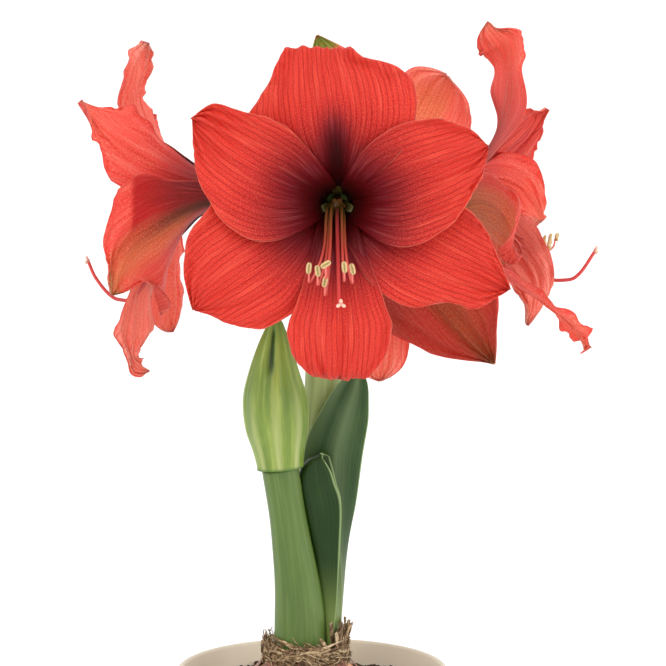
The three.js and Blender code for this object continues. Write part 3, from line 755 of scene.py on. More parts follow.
FLOWERS = [
    Flower("front", (15, -22, 421), 0, 0, "petal", [
        Petal("top", 90, False, -0.003, 2, 2.6, 0.1, [
            (0, 17, 44, 16, 16), (-1, 40, 64, 40, 42), (-2, 58, 75, 47, 49), (-4, 72, 78, 43, 39),
            (-6, 83, 77, 23, 31), (-7, 92, 73, 15, 23), (-8, 86, 62, 12, 18)], flame=30, blunt=0.93),
        Petal("upper_left", 150, True, 0.004, 2.4, 2.2, 0.6, [
            (-13, 8, 44, 14, 19), (-30, 17, 65, 23, 38), (-46, 26, 78, 28, 37), (-60, 35, 82, 25, 27),
            (-72, 45, 81, 18, 14), (-82, 52, 76, 12, 6)], flame=4, blunt=0.9),
        Petal("upper_right", 22, True, 0.004, 2.2, 2.3, 0.2, [
            (14, 6, 44, 19, 15), (30, 13, 65, 36, 27), (48, 21, 78, 34, 31), (63, 27, 83, 25, 28),
            (75, 32, 81, 15, 19), (85, 37, 76, 7, 8)], flame=4, blunt=0.9),
        Petal("lower_left", 215, False, 0.002, 2.6, 2.4, 0.4, [
            (-13, -9, 42, 15, 15), (-27, -20, 58, 28, 26), (-43, -31, 69, 45, 33), (-59, -41, 75, 40, 31),
            (-72, -50, 75, 27, 18), (-81, -57, 71, 15, 9)], shade=4),
        Petal("lower_right", 331, False, 0.002, 2.4, 2.5, 0.8, [
            (14, -8, 42, 15, 15), (33, -16, 59, 30, 28), (54, -25, 70, 33, 33), (72, -33, 75, 21, 27),
            (86, -39, 74, 19, 14), (98, -45, 70, 10, 6)], shade=4),
        Petal("bottom", 268, True, 0.003, 1.8, 2.4, 0.3, [
            (0, -15, 44, 13, 13), (0, -32, 57, 17, 19), (0, -50, 69, 22, 26), (0, -66, 76, 28, 31),
            (0, -80, 79, 26, 28), (0, -93, 75, 18, 18), (1, -96, 64, 12, 10)],
            shade=6, flame=4, blunt=0.93),
    ], [(0.5, -28, 68), (1, -48.5, 92), (2, -49.5, 106)]),
    Flower("left", (-28, 8, 423), -97, 0, "side_petal", [
        Petal("top", 90, False, 0.004, 2.5, 3, 0, [
            (0, 12, 40, 13, 13), (0, 28, 66, 20, 17, -10), (0, 52, 80, 14, 15, -22),
            (0, 75, 76, 16, 12, -24), (0, 90, 72, 8, 7, -24)],
            olive=0.1, ragged=0.12, frill=0.6, pale=0.6),
        Petal("far_upper", 152, True, 0.004, 3, 2.5, 0.5, [
            (-12, 8, 42, 11, 14), (-30, 19, 66, 16, 26), (-44, 30, 76, 19, 22), (-54, 38, 77, 9, 10)],
            olive=0.1),
        Petal("near_upper", 35, True, 0.004, 3, 2.3, 0.2, [
            (13, 8, 42, 14, 14), (30, 20, 68, 27, 26), (42, 36, 88, 9.5, 30), (45, 56, 104, 4, 10)],
            olive=0.15, frill=0.6, flush=(0.8, 0.42, 0.1, -2)),
        Petal("near_lower", 328, False, 0.005, 2.4, 2.4, 0.7, [
            (14, -6, 36, 19, 15), (27, -12, 48, 46, 24, 4), (42, -20, 61, 59, 37, 10),
            (53, -29, 73, 56, 24, 14), (58, -41, 81, 34, 6, 32), (59, -56, 83, 17, 2, 50)],
            olive=1, frill=0.6, blunt=0.9, gold=(0.65, -5.5, -0.8), flush=(1, 0.58, 0.015, 0.25)),
        Petal("bottom", 268, True, 0.004, 3.4, 3, 0.1, [
            (0, -13, 42, 13, 13), (0, -38, 65, 17, 17, 20), (0, -60, 78, 14, 8, 30),
            (0, -82, 82, 18, 13, 42), (0, -98, 82.5, 3, 3, 50), (-2, -107, 79, 8, 7, 60),
            (-6, -110, 73, 5, 4, 60)], olive=0.1, ragged=0.1, pale=0.8),
        Petal("far_lower", 215, False, 0.004, 3, 2.3, 0.9, [
            (-13, -9, 42, 14, 14), (-28, -26, 60, 20, 26, 8), (-40, -56, 66, 24, 32, 18),
            (-42, -90, 66, 16, 18, 20)], blunt=0.9, olive=0.1, pale=0.3),
    ], [(0, -40, 62), (0, -63, 80), (0, -65.5, 89), (0, -62, 96), (0, -52, 104), (0, -42, 108.5)],
        lift=9, back=12),
    Flower("right", (47, 14, 419), 80, 0, "side_petal", [
        Petal("top", 90, False, 0.004, 2, 3, 0.3, [
            (0, 13, 42, 13, 13), (0, 36, 62, 20, 17, 14), (0, 58, 70.5, 29, 21, 34),
            (0, 79, 71.3, 21, 16, 38), (0, 90.4, 70, 18, 11.5, 66), (0, 96, 67.5, 17, 12, 84),
            (0, 101, 63.5, 15, 2, 100), (0, 106, 58, 10, 1.5, 120)],
            olive=0.3, ragged=0.12, pale=0.2, blunt=0.95, flush=(0.7, 0.25, 0.05, -2)),
        Petal("far_upper", 35, True, 0.004, 3, 2.4, 0.1, [
            (13, 9, 42, 14, 14), (34, 24, 66, 24, 24), (52, 40, 80, 14, 20), (58, 52, 88, 6, 8)],
            shade=-34, olive=0.1),
        Petal("near_upper", 143, True, 0.004, 2.8, 2.6, 0.6, [
            (-12, 9, 42, 14, 14), (-25, 15, 64, 20, 15), (-37, 12, 81, 17, 18), (-46, 2, 92, 8, 22),
            (-50, -8, 97, 4, 10)],
            olive=0.2, blunt=0.9, ragged=0.12, frill=0.9),
        Petal("near_lower", 200, False, 0.004, 2.6, 2.4, 0, [
            (-13, -6, 42, 14, 14), (-35, -5, 60, 24, 20), (-55, -9, 74, 28, 22), (-66, -19, 81, 22, 18),
            (-70, -31, 79, 6, 5)],
            olive=1, frill=0.6, gold=(0.9, -6, 6), pale=-0.5),
        Petal("bottom", 270, True, 0.004, 3, 3, 0.4, [
            (0, -14, 42, 12, 12), (-8, -38, 63, 14, 12, -10), (-17, -53, 86, 17, 12, -20),
            (-18, -67, 107, 12, 10, -25), (-16, -80, 118, 6, 9, -25), (-14, -87, 121, 5, 5, -25)],
            olive=0.3, ragged=0.06, frill=0.6),
        # Its upper face takes the paler under face's finish as well: painted light where it lies in shade
        Petal("far_lower", 326, False, 0.004, 2.8, 2.4, 0.8, [
            (13, -9, 42, 14, 14), (9, -28, 64, 12, 25, 20), (4, -44, 79, 9, 21, 34),
            (2, -58, 85, 8, 13, 50), (2, -75, 83, 3, 4, 80)], olive=0.1, pale=0.8,
            face="petal_outside"),
    ], [(12, -29, 69), (19, -47, 89), (19, -49, 105), (19, -44.5, 113), (19, -31, 122)],
        lift=5, aside=24),
    Flower("back", (22, 48, 412), 165, -4, "side_petal", [
        Petal("top", 69, False, 0.004, 2.4, 2.4, 0.2, [
            (6, 16, 44, 15, 15), (16, 44, 64, 30, 30), (28, 76, 74, 24, 24), (41, 107, 72, 10, 10)],
            olive=2.6),
        Petal("upper_left", 120, True, 0.004, 2.6, 2.4, 0.6, [
            (-8, 13, 44, 14, 14), (-22, 36, 66, 30, 30), (-34, 62, 76, 30, 28), (-45, 82, 68, 20, 17)],
            blunt=0.9, pale=0.5, olive=0.3, gold=(0.75, -7, 3)),
        Petal("left", 177, False, 0.004, 2.4, 2.3, 0.4, [
            (-16, 1, 44, 15, 15), (-44, 0, 66, 32, 32), (-76, -6, 76, 34, 34), (-99, -14, 66, 14, 14)]),
        Petal("lower_left", 236, True, 0.004, 2.4, 2.4, 0.1, [
            (-9, -14, 44, 14, 14), (-28, -42, 61, 34, 42), (-53, -72, 69, 34, 28), (-80, -98, 64, 14, 7)],
            olive=1, pale=-1.25, gold=(0.5, -6, 2)),
        Petal("bottom", 275, False, 0.004, 2.6, 2.4, 0.7, [
            (1, -16, 44, 15, 15), (0, -46, 70, 24, 26), (-1, -80, 79, 21, 24), (-4, -112, 72, 14, 16)],
            olive=0.1, pale=0.5, blunt=0.9),
        Petal("right", 350, True, 0.004, 2.4, 2.4, 0.5, [
            (15, -3, 44, 14, 14), (42, -8, 66, 30, 30), (70, -12, 76, 28, 28), (88, -14, 68, 12, 12)]),
    ], [(0, -30, 70), (0, -52, 94), (0, -44, 110)]),
]

# Where each filament starts round the hub, where its anther's middle is, and how far the anther leans
STAMENS = [
    (150, (-16, -31, 88), 6), (210, (-11, -32, 93), -8), (90, (-6.5, -28, 97), 58),
    (270, (-7, -39, 84), 12), (30, (4, -30, 92), -6), (330, (8.5, -31.5, 88), -12),
]
# How far out each station of a corona scale lies, how high, and its half width
CORONA_STATIONS = ((3, 12, 2.2), (4.8, 20, 2.6), (7.6, 26, 2.6), (9.6, 28, 2.2), (11, 28, 1))
THIRDS = [math.radians(angle) for angle in (90, 210, 330)]


# How far the claw's stations lie out from the foot, how high, and how wide to the foot's width
CLAW_STATIONS = ((0, 0, 1), (2.6, 20, 1.7))


def petal_surface(design, seed):
    away = heading(math.radians(design.angle))
    claw = CLAW["inner" if design.inside else "outer"]
    foot = 5 if design.inside else 6.3
    feet = [(*(away * (foot + out)).xy, z, claw * wide, claw * wide) for out, z, wide in CLAW_STATIONS]
    ruffle, waves, phase = design.ruffle, design.waves, design.phase

    def section(s, arc, place):
        round_the_tube = 1 / max(math.hypot(place.x, place.y), foot)
        sideways, rise = arched(arc, mix(round_the_tube, design.cup, smooth(s, 0.25, 0.6)))
        midrib = 0.8 * math.exp(-((arc / 1.8) ** 2)) * smooth(s, 0.3, 0.5) * (1 - 0.6 * s)
        return sideways, rise - midrib

    def ripple(s, u):
        side = 0 if u > 0 else 0.37
        wave = math.sin(2 * math.pi * (waves * s + phase + side))
        frill = math.sin(2 * math.pi * (3.1 * waves * s + 2 * phase + 2 * side))
        bend = smooth(s, 0.35, 0.7)
        swell = lump(1.8 * u, 4 * s, seed) + 0.6 * lump(5 * u, 3 * s, seed + 5)
        soft = 2.0 * swell * smooth(s, 0.3, 0.6)
        edge = abs(u) ** 2.5 * wave * ruffle + abs(u) ** 6 * frill * ruffle * design.frill
        crimp = lump(4 * u, 34 * s, seed + 9) * abs(u) ** 5 * 3.2 * smooth(s, 0.5, 0.75)
        crimp *= 1 - 0.8 * smooth(s, 0.82, 0.97)
        pleat = lump(6 * u, 2.2 * s, seed + 13) * 3.4 * smooth(s, 0.45, 0.8)
        return edge * bend + soft + crimp + pleat

    def tip(s, u):
        side = 4 if u > 0 else 9
        notches = lump(7 * s, seed, side) + 0.5 * lump(19 * s, seed, side)
        ragged = design.ragged * u * u * notches * smooth(s, 0.4, 0.6) * (1 - 0.7 * smooth(s, 0.85, 1))
        return round_tip(s, design.blunt) * (1 + ragged)

    return strip([*feet, *design.stations], Z.cross(away), section, tip, ripple)


def vein_spacing(surface):
    """Veins fan out to the widest place, and then run on nearly side by side."""
    rows = 40
    half = [(surface.arc(i / rows, 1) - surface.arc(i / rows, -1)) / 2 for i in range(rows + 1)]
    widest = max(range(rows + 1), key=half.__getitem__)

    @functools.cache
    def at(s):
        row = min(s * rows, widest)
        low = min(int(row), rows - 1)
        fan = mix(half[low], half[low + 1], row - low) / half[widest]
        beyond = half[round(s * rows)] / half[widest] if s * rows > widest else 1
        return VEIN_SPACING * fan * mix(1, beyond, 0.3)

    return at


def petal_values(design, surface):
    """What a petal's finishes read at each point of it."""
    spacing = vein_spacing(surface)

    def stored(s, u):
        vein = surface.arc(s, u) / spacing(s)
        place = surface(s, u)
        radius = math.hypot(place.x, place.y)
        flame = design.flame * math.exp(-((vein / 2.9) ** 2)) * (1 - smooth(radius, 36, 80))
        shade = design.shade * (1 - smooth(radius, 24, 60))
        depth = min(max((radius - shade - flame) / 65, 0), 1)
        amount, left, right = design.gold
        gold = amount * smooth(vein, left - 1.5, left + 1.5)
        gold *= 1 - smooth(vein, right - 1.5, right + 1.5)
        gold *= smooth(s, 0.3, 0.45) * (1 - smooth(s, 0.8, 1))
        amount, end, soft, side = design.flush
        flush = amount * smooth(u, side - 0.15, side + 0.1)
        flush *= 1 - smooth(s - 0.12 * (1 - u), end - soft, end + soft)
        return {
            "vein": vein, "along": s * 110, "depth": depth, "olive": design.olive, "gold": gold,
            "flush": flush, "pale": max(design.pale, 0), "dusky": max(-design.pale, 0),
        }

    return stored


def add_petals(flower):
    to_world = flower.to_world()
    nodes = [flower.part("petals")]
    for number, design in enumerate(flower.petals):
        surface = petal_surface(design, 10 * number + flower.yaw)
        sheet = blade(surface, 44, 72, to_world, petal_values(design, surface))
        faces = (design.face or flower.finish, "petal_outside")
        add_piece(flower.part(f"{design.label}_petal"), sheet, faces, nodes, PETAL_THICKNESS)
    wall = tube(
        [(0, 0, GAP), (0, 0, 6), (0, 0, 13)], taper(6.9, 8.4), 12, 48,
        flute=lambda s, turn: 0.25 * math.cos(6 * turn), to_world=to_world,
        stored=("olive", lambda s, turn: 1),
    )
    add_piece(flower.part("tube"), wall, ["flower_stem"], nodes)


def sacs(s, turn):
    """The furrow between an anther's two pollen sacs."""
    return -0.75 * math.exp(-((math.cos(turn) / 0.35) ** 2)) * (1 - (2 * s - 1) ** 4)


def make_corona(to_world):
    """Three fringed scales in the throat."""
    scales = []
    for angle in THIRDS:
        out = heading(angle)
        path = []
        for radius, z, half in CORONA_STATIONS:
            x, y = (out * radius).xy
            path.append((x, y + 2 * z / 28, z, half, half))
        surface = strip(path, Z.cross(out), arched_by(0.25))
        scales.append(blade(surface, 8, 14, to_world))
    return gather(scales)


def add_stamens(flower):
    to_world = flower.to_world()
    filaments, anthers = [], []
    for start, (x, low, z), lean in STAMENS:
        foot_x, foot_y = polar(2.6, math.radians(start))
        spread = 0.28 * x + math.copysign(1.6, x) + 0.2 * flower.aside
        x += flower.aside
        z -= flower.back
        y = low + flower.lift
        filaments.append(tube(
            [(foot_x, foot_y, 11), (0.5 * (foot_x + spread), foot_y - 1.5, 24), (spread, foot_y - 5, 40),
             (mix(spread, x, 0.1), 0.6 * y, 62 - 0.7 * flower.back),
             (mix(spread, x, 0.35), 0.92 * y, 76 - 0.9 * flower.back),
             (mix(spread, x, 0.8), y - 7, z - 8), (x, y - 8.4, z - 3.5), (x, y - 5.5, z),
             (x, y - 1, z + 0.8)],
            taper(0.95, 0.55), 44, 10, to_world=to_world,
        ))
        lean = math.radians(lean)
        ahead = Vector((math.sin(lean), math.cos(lean), 0))
        middle = Vector((x, y, z + 1.6))
        anthers.append(tube(
            [middle + ahead * 3.2 * t + Z * (1.1 * t * t) for t in (-1, -0.5, 0, 0.5, 1)],
            lambda s: [1.6 * round_ends(s), 1.3 * round_ends(s)], 24, 24, across=ahead.cross(Z),
            flute=sacs, to_world=to_world,
        ))
    hub = tube(
        [(0, 0, GAP), (0, 0, 14), (0, -1, 28)], taper(3.6, 4.4), 24, 48,
        flute=lambda s, turn: 0.7 * s * math.cos(6 * turn), to_world=to_world,
    )
    nodes = [flower.part("stamens")]
    add_piece(flower.part("filaments"), gather(filaments), ["filament"], nodes)
    add_piece(flower.part("anthers"), gather(anthers), ["anther"], nodes)
    add_piece(flower.part("hub"), hub, ["hub"], nodes)
    add_piece(flower.part("corona"), make_corona(to_world), ["corona"], nodes, 0.7)


def add_pistil(flower):
    to_world = flower.to_world()
    path = [(0, 0, GAP), (0, 0, 15), (0, -8, 40), *flower.style]
    style = tube(path, taper(1.35, 1.0), 60, 12, to_world=to_world)
    end = Vector(flower.style[-1])
    lobes = []
    for angle in THIRDS:
        out = heading(angle)
        lobes.append(tube(
            [end - Z * 0.6 + out * 0.2, end + out * 1.3 + Z * 0.5, end + out * 2.9 + Z * 1.1],
            lambda s: [mix(0.8, w, s) * math.sqrt(max(1 - s ** 6, 0.05)) for w in (1.2, 0.9)],
            12, 12, across=Z.cross(out), to_world=to_world,
        ))
    nodes = [flower.part("pistil")]
    add_piece(flower.part("style"), style, ["style"], nodes)
    add_piece(flower.part("stigma"), gather(lobes), ["stigma"], nodes)


# Stalks, bud and leaves
FOOT = BULB["neck_top"] - BULB["socket"] + GAP


def add_flowering_stalk():
    width = profile(12.6, 12.4, 12, 11.6, UMBEL["width"])
    stalk = tube(
        [(-6, 13, FOOT), (-5, 14, 195), (2, 16, 245), (7, 15, 305),
         (UMBEL["x"], UMBEL["y"], UMBEL["z"] + 3)],
        oval(width, 0.975), 120, 48, flute=lambda s, turn: 0.12 * math.cos(7 * turn + 2 * s),
    )
    add_piece("tall_stalk", stalk, ["stalk"], ["flowering_stalk"])
    girth = profile(5, 4.4, 4.4, 4.8, 6.4, OVARY["radius"])
    root = Vector((UMBEL["x"], UMBEL["y"], UMBEL["z"]))
    for flower in FLOWERS:
        to_world = flower.to_world()
        ovary = [to_world @ Vector((0, 0, -OVARY["length"] * share)) for share in (1.5, 1, 0.7, 0)]
        rise = Vector((mix(root.x, ovary[1].x, 0.3), mix(root.y, ovary[1].y, 0.3), root.z + 10))
        stem = tube(
            [root - Z * 8, rise, ovary[0] - Z * 9, ovary[2], ovary[3]], lambda s: [girth(s)] * 2, 70, 36,
            across=to_world.to_3x3() @ X,
            flute=lambda s, turn: 0.5 * smooth(s, 0.55, 0.8) * math.cos(3 * turn),
        )
        add_piece(flower.part("stem"), stem, ["flower_stem"], ["flowering_stalk"])


def add_bud_stalk():
    width = profile(15.7, 15, 12.8, 11, 11)
    top = BUD["z"] - GAP
    stalk = tube(
        [(-7, -9.5, FOOT), (-8, -11, 180), (-13, -14, 220), (BUD["x"], BUD["y"], top)],
        lambda s: (width(s), 0.62 * width(s) + 2 * s), 110, 48,
        flute=lambda s, turn: 0.14 * math.cos(6 * turn + 1.5 * s),
    )
    add_piece("short_stalk", stalk, ["bud_stalk"], ["bud_stalk"])


def add_bud():
    width = profile(13.6, 15.4, 18.2, 19, 18, 14.4, 9.5, 3)
    x, y, z, length = BUD["x"], BUD["y"], BUD["z"], BUD["length"]
    seam = math.radians(262)

    def cleft(s, turn):
        stretch = smooth(s, 0.66, 0.76) * (1 - smooth(s, 0.9, 0.97))
        return math.exp(-(((turn - seam) / 0.16) ** 2)) * stretch

    def flute(s, turn):
        ribs = 0.5 * math.cos(BUD["ribs"] * turn) + 0.16 * math.cos(3 * BUD["ribs"] * turn + 1)
        rim = 0.5 * (1 - smooth(s, 0.0, 0.03))
        return ribs * math.sin(math.pi * s) - 2.6 * cleft(s, turn) + rim

    shape = tube(
        [(x + 0.2, y, z + GAP / 2), (x - 2, y - 1, z + 0.3 * length), (x - 3.5, y - 1, z + 0.6 * length),
         (x - 2.5, y, z + length)],
        oval(width, 0.97), 110, 96, flute=flute, stored=("cleft", lambda s, turn: min(1, cleft(s, turn))),
    )
    add_piece("closed_bud", shape, ["bud"], ["bud"])


def add_leaves():
    large = strip(
        [(15.5, 5, FOOT, 7.5, 7.5, 82), (16.5, 6, 190, 9, 9, 64), (13, 4, 230, 15, 16, 24),
         (13, 1, 264, 18.5, 18, 4), (19.5, -2, 290, 14, 15, 0), (25, -3.5, 306, 10, 9.3, 0),
         (27.5, -4, 316, 5, 4.5, 0)],
        X, lambda s, arc, place: arched(arc, mix(0.035, 0.018, s)), lambda s, u: round_tip(s, 0.93),
        lambda s, u: -0.5 * math.exp(-((u / 0.08) ** 2)) + 0.4 * lump(2 * u, 4 * s, 5),
    )
    add_piece("long_leaf", blade(large, 40, 110), ["large_leaf"], ["large_leaf"], LEAF_THICKNESS)

    def folded(s, arc, place):
        depth = mix(4, 5, smooth(s, 0, 0.5))
        sideways = depth * math.tanh(arc / depth)
        return sideways, abs(arc) - 0.7 * abs(sideways)

    short = strip(
        [(9.6, -8, FOOT, 4.5, 4.5), (7, -9, 175, 10.5, 10.5), (1.6, -11, 208, 18.5, 18),
         (-5, -11.5, 237, 26, 26), (-7.6, -10.5, 249.9, 25.7, 25), (-6.4, -9.8, 257.9, 22.7, 20.9),
         (-2.2, -9.4, 263.4, 16.9, 13.5), (1.3, -9.2, 265.5, 12.5, 8.2), (4.8, -9, 267.1, 5, 4)],
        -Y, folded, lambda s, u: round_tip(s, 0.97), rise_to=X,
    )
    add_piece("folded_leaf", blade(short, 56, 90), ["short_leaf"], ["short_leaf"], LEAF_THICKNESS)


def add_bracts():
    seat = FLATTENED * UMBEL["width"] + GAP + 0.4
    shapes = {
        "front_bract": (-seat, [(7, -8, 372, 8, 8), (5, -13, 352, 7, 7), (3, -12, 328, 3, 3)]),
        "back_bract": (seat, [(8, 37, 371, 8, 8), (10, 43, 350, 7, 7), (11, 41, 322, 3, 3)]),
    }
    for node, (out, stations) in shapes.items():
        surface = strip(
            [(8, UMBEL["y"] + out, 376, 5, 5), *stations], X, arched_by(-0.07),
            lambda s, u: round_tip(s, 0.6),
            lambda s, u: 1.2 * u * u * math.sin(9 * s + 2 * u) + 0.5 * lump(4 * u, 12 * s, 1),
        )
        add_piece(f"withered_{node}", blade(surface, 20, 60), ["bract"], [node], 0.5)


# Bulb, dry skin, soil and pot
def turned_outline(outline, rows, sides, centre=(0, 0), bump=lambda s, turn: 0):
    """A body turned about an upright axis, from an outline of radius and height up its outside."""
    made = grid(sides, rows)
    curve = spline(outline)
    for vertex in made.verts:
        turn, s = rolled(vertex)
        radius, z = curve(s)
        radius = max(radius, 0) + bump(s, turn)
        vertex.co = Vector((*polar(radius, turn, centre), z)) * MM
    close(made)
    return made


BULB_OUTLINE = [
    (16, BULB["bottom"]), (33, 70), (42, 86), (43.5, 100), (40, 119), (32, 132), (25.6, 139), (23, 146),
    (22.4, BULB["neck_top"]),
]
BULB_MIDDLE = (BULB["x"], BULB["y"])


def add_bulb():
    body = turned_outline(
        BULB_OUTLINE, 60, 96, BULB_MIDDLE,
        lambda s, turn: 0.25 * math.cos(9 * turn + 3 * s) - 0.3 * abs(math.sin(2.5 * turn)),
    )
    add_piece("bulb_body", body, ["bulb"], ["bulb"])


def on_bulb(angle, z, out):
    """A point just outside the bulb, at an angle round it and a height."""
    for (low_r, low_z), (high_r, high_z) in zip(BULB_OUTLINE, BULB_OUTLINE[1:]):
        if low_z <= z <= high_z:
            radius = mix(low_r, high_r, (z - low_z) / (high_z - low_z)) + out
            return *polar(radius, angle, BULB_MIDDLE), z
    raise ValueError(f"no bulb at {z}")


# Where each plate of outer skin lies round the bulb, its half width, and how low it reaches
SKIN_PLATES = (
    (-96, 5, 112), (-148, 7, 114), (178, 8, 112), (-40, 5, 114), (60, 9, 112), (120, 8, 112),
    (10, 6, 116),
)


def add_outer_skin():
    """What is left of the bulb's dark outer skin: upright plates round it, each wide below."""
    plates = []
    for degrees, half, low in SKIN_PLATES:
        angle = math.radians(degrees)
        rows = ((low, 0.9), (124, 1), (133, 1), (140, 0.8), (147, 0.5))
        stations = [
            (*on_bulb(angle + 0.02 * i, z, 0.9 + 0.1 * i), half * share, half * share)
            for i, (z, share) in enumerate(rows)
        ]
        surface = strip(
            stations, Z.cross(heading(angle)), arched_by(0.033),
            ripple=lambda s, u: -0.5 - 0.4 * abs(u) * lump(u, 6 * s, angle),
        )
        plates.append(blade(surface, 14, 30))
    add_piece("bulb_outer_skin", gather(plates), ["skin_plate"], ["dry_skin_collar"], 0.3)


def make_flake(chance, angle, low, half, out, drift, rise, flare, lying):
    """A flake of dry skin that starts at an angle round the neck, and drifts, rises and flares."""
    stations, shade = [], chance.uniform(-1, 1)
    for t in (0, 0.35, 0.7, 1):
        place = polar(COLLAR["radius"] + out + flare * t * t, angle + drift * t, BULB_MIDDLE)
        width = half * (1 - 0.6 * t)
        z = low + rise * t + chance.uniform(-0.8, 0.8)
        stations.append((*place, z, width, width, chance.uniform(-30, 30)))
    surface = strip(
        stations, Z if lying else Z.cross(heading(angle)), arched_by(chance.uniform(0.1, 0.4)),
        ripple=lambda s, u: 0.5 * lump(3 * u, 9 * s, angle * 5),
    )
    return blade(surface, 4, 16, stored=lambda s, u: {"pale": shade})


def make_fibre(chance):
    angle = chance.uniform(0, 2 * math.pi)
    drift = chance.uniform(5, 18) * chance.uniform(-1, 1) / COLLAR["radius"]
    low = COLLAR["z"] + chance.uniform(-8, 5)
    out = chance.uniform(-3.5, 0.5)
    shade = chance.uniform(-1, 1)
    rise = chance.uniform(-7, 8)
    path = []
    for t in (0, 0.33, 0.66, 1):
        place = polar(COLLAR["radius"] + out + chance.uniform(-1, 1), angle + drift * t, BULB_MIDDLE)
        path.append((*place, low + rise * t + chance.uniform(-1, 1)))
    return tube(path, taper(0.3, 0.3), 8, 4, across=Z, stored=("pale", lambda s, turn: shade))


def add_collar():
    """Torn dry skin round the neck: flakes that lie round it or stand up, two tufts, and fibres."""
    chance = random.Random(11)
    draw, top = chance.uniform, COLLAR["z"]
    flakes = []
    for _ in range(230):
        length = draw(9, 30)
        flakes.append(make_flake(
            chance, draw(0, 2 * math.pi), top + draw(-8, 5), draw(0.4, 1.7), draw(-4.5, -0.5),
            chance.choice((-0.9, 0.9)) * length / COLLAR["radius"], draw(-7, 7), draw(-1, 2), True,
        ))
    for _ in range(90):
        length = draw(5, 13)
        flakes.append(make_flake(
            chance, draw(0, 2 * math.pi), top + draw(-5, 2), draw(0.6, 1.8), draw(-4, -0.5),
            draw(-0.8, 0.8) * length / COLLAR["radius"], length * draw(0.3, 0.8), draw(-1, 2.5), False,
        ))
    for middle, spread, tallest, widest, number in ((-0.3, 0.35, 24, 3.6, 30), (3.6, 0.5, 16, 2.4, 18)):
        for _ in range(number):
            length = tallest * draw(0.65, 1)
            flakes.append(make_flake(
                chance, middle + draw(-spread, spread), top - 3, widest * draw(0.6, 1.1), draw(-5, -1.5),
                draw(-0.4, 0.4) * length / COLLAR["radius"], 0.95 * length, draw(0, 4), False,
            ))
    fibres = [make_fibre(chance) for _ in range(520)]
    add_piece("dry_skin_flakes", gather(flakes), ["dry_skin"], ["dry_skin_collar"], 0.25)
    add_piece("dry_skin_fibres", gather(fibres), ["dry_skin"], ["dry_skin_collar"])


def soil_height(x, y):
    place = Vector((x, y, 0))
    lumps = 1.1 * noise.noise(place * 0.05) + 0.9 * noise.noise(place * 0.16)
    return SOIL_TOP + lumps + 0.7 * noise.noise(place * 0.42) + 0.4 * noise.noise(place * 1.1)


def pot_radius(z):
    """The pot's outside."""
    return mix(POT["base"], POT["rim"], z / POT["height"])


def make_soil_bed(wall):
    """The soil's lumpy top and its side, rolled up from the pot's floor to the middle of the top."""
    low = pot_radius(POT["floor"]) - POT["wall"] - GAP
    made = grid(220, 84)
    skirt = 0.06
    for vertex in made.verts:
        turn, s = rolled(vertex)
        if s < skirt:
            x, y = polar(mix(low, wall, s / skirt), turn)
            z = mix(POT["floor"] + GAP, SOIL_TOP - 1, s / skirt)
        else:
            x, y = polar(wall * (1 - (s - skirt) / (1 - skirt)), turn)
            z = soil_height(x, y)
        vertex.co = Vector((x, y, z)) * MM
    close(made)
    return made


def make_crumbs(chance, wall):
    """Loose crumbs all over the soil, most of them small."""
    noise.seed_set(5)
    crumbs = bmesh.new()
    draw = chance.uniform
    for _ in range(1500):
        angle, radius = draw(0, 2 * math.pi), wall * math.sqrt(draw(0.12, 0.98))
        x, y = polar(radius, angle)
        if math.hypot(x - BULB["x"], y - BULB["y"]) < 40:
            continue
        size = draw(0.5, 1.1) if chance.random() < 0.75 else draw(1.1, 2.4)
        place = Matrix.Translation(Vector((x, y, soil_height(x, y) + 0.25 * size)) * MM)
        turned = Matrix.Rotation(draw(0, 6), 4, Vector((chance.random(), chance.random(), 1)))
        flat = Matrix.Diagonal((draw(0.7, 1.3), draw(0.7, 1.3), draw(0.5, 0.9), 1))
        ball = bmesh.ops.create_icosphere(
            crumbs, subdivisions=1, radius=size * MM, matrix=place @ turned @ flat,
        )
        for vertex in ball["verts"]:
            vertex.co += noise.noise_vector(vertex.co * 900) * size * 0.35 * MM
    return crumbs


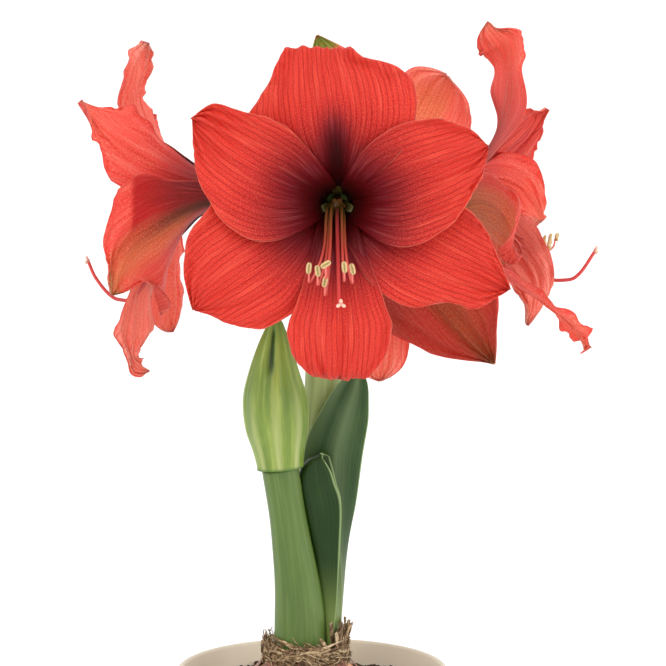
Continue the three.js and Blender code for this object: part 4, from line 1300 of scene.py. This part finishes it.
def make_twigs(chance, wall):
    """Bits of bark that lie on the soil, and a forked twig that stands up by the pot's wall."""
    bits = []
    for _ in range(46):
        angle = chance.uniform(0, 2 * math.pi)
        middle = polar(chance.uniform(44, wall - 4), angle)
        way = chance.uniform(0, 2 * math.pi)
        length = chance.uniform(3, 8)
        path = []
        for t in (-1, 0, 1):
            x, y = middle[0] + t * length * math.cos(way) / 2, middle[1] + t * length * math.sin(way) / 2
            path.append((x, y, soil_height(x, y) + 0.6))
        bits.append(tube(path, lambda s: [0.35, 0.25], 4, 5, across=Z))
    bits.append(tube([(-58, 20, 121), (-59, 20, 125), (-58.4, 19, 129)], taper(0.9, 0.4), 10, 7))
    bits.append(tube([(-58.8, 20, 124), (-61, 21, 127), (-61.6, 21, 129)], taper(0.6, 0.3), 8, 6))
    return gather(bits)


def add_soil():
    wall = pot_radius(SOIL_TOP) - POT["wall"] - GAP
    chance = random.Random(5)
    add_piece("potting_soil", make_soil_bed(wall), ["soil"], ["soil"])
    add_piece("soil_crumbs", make_crumbs(chance, wall), ["soil"], ["soil"])
    add_piece("soil_bark_and_twigs", make_twigs(chance, wall), ["dry_skin"], ["soil"])


def add_pot():
    """An outline turned about the pot's axis: foot, side, rounded lip, and inside down to the floor."""
    height, rim, wall, floor = POT["height"], POT["rim"], POT["wall"], POT["floor"]
    edge, lip = 3, wall / 2
    outline = [
        (0, 0), (pot_radius(0) - edge, 0), (pot_radius(0) - 0.3 * edge, 0.3 * edge),
        (pot_radius(edge), edge), (pot_radius(height - lip), height - lip),
        (rim - 0.35 * lip, height - 0.3 * lip),
        (rim - lip, height), (rim - 1.7 * lip, height - 0.3 * lip), (rim - wall, height - lip),
        (pot_radius(floor) - wall, floor), (0, floor),
    ]
    made = bmesh.new()
    path = [made.verts.new((r * MM, 0, z * MM)) for r, z in outline]
    edges = [made.edges.new(pair) for pair in zip(path, path[1:])]
    bmesh.ops.spin(
        made, geom=[*path, *edges], cent=(0, 0, 0), axis=Z, dvec=(0, 0, 0), angle=2 * math.pi,
        steps=128, use_merge=True,
    )
    bmesh.ops.remove_doubles(made, verts=made.verts, dist=0.01 * MM)
    bmesh.ops.recalc_face_normals(made, faces=made.faces)
    pot = add_piece("round_pot", made, ["pot"], ["pot"])
    pot.data.set_sharp_from_angle(angle=math.radians(50))


make_camera()
make_studio()
for flower in FLOWERS:
    add_petals(flower)
    add_stamens(flower)
    add_pistil(flower)
add_flowering_stalk()
add_bud_stalk()
add_bud()
add_leaves()
add_bracts()
add_bulb()
add_outer_skin()
add_collar()
add_soil()
add_pot()
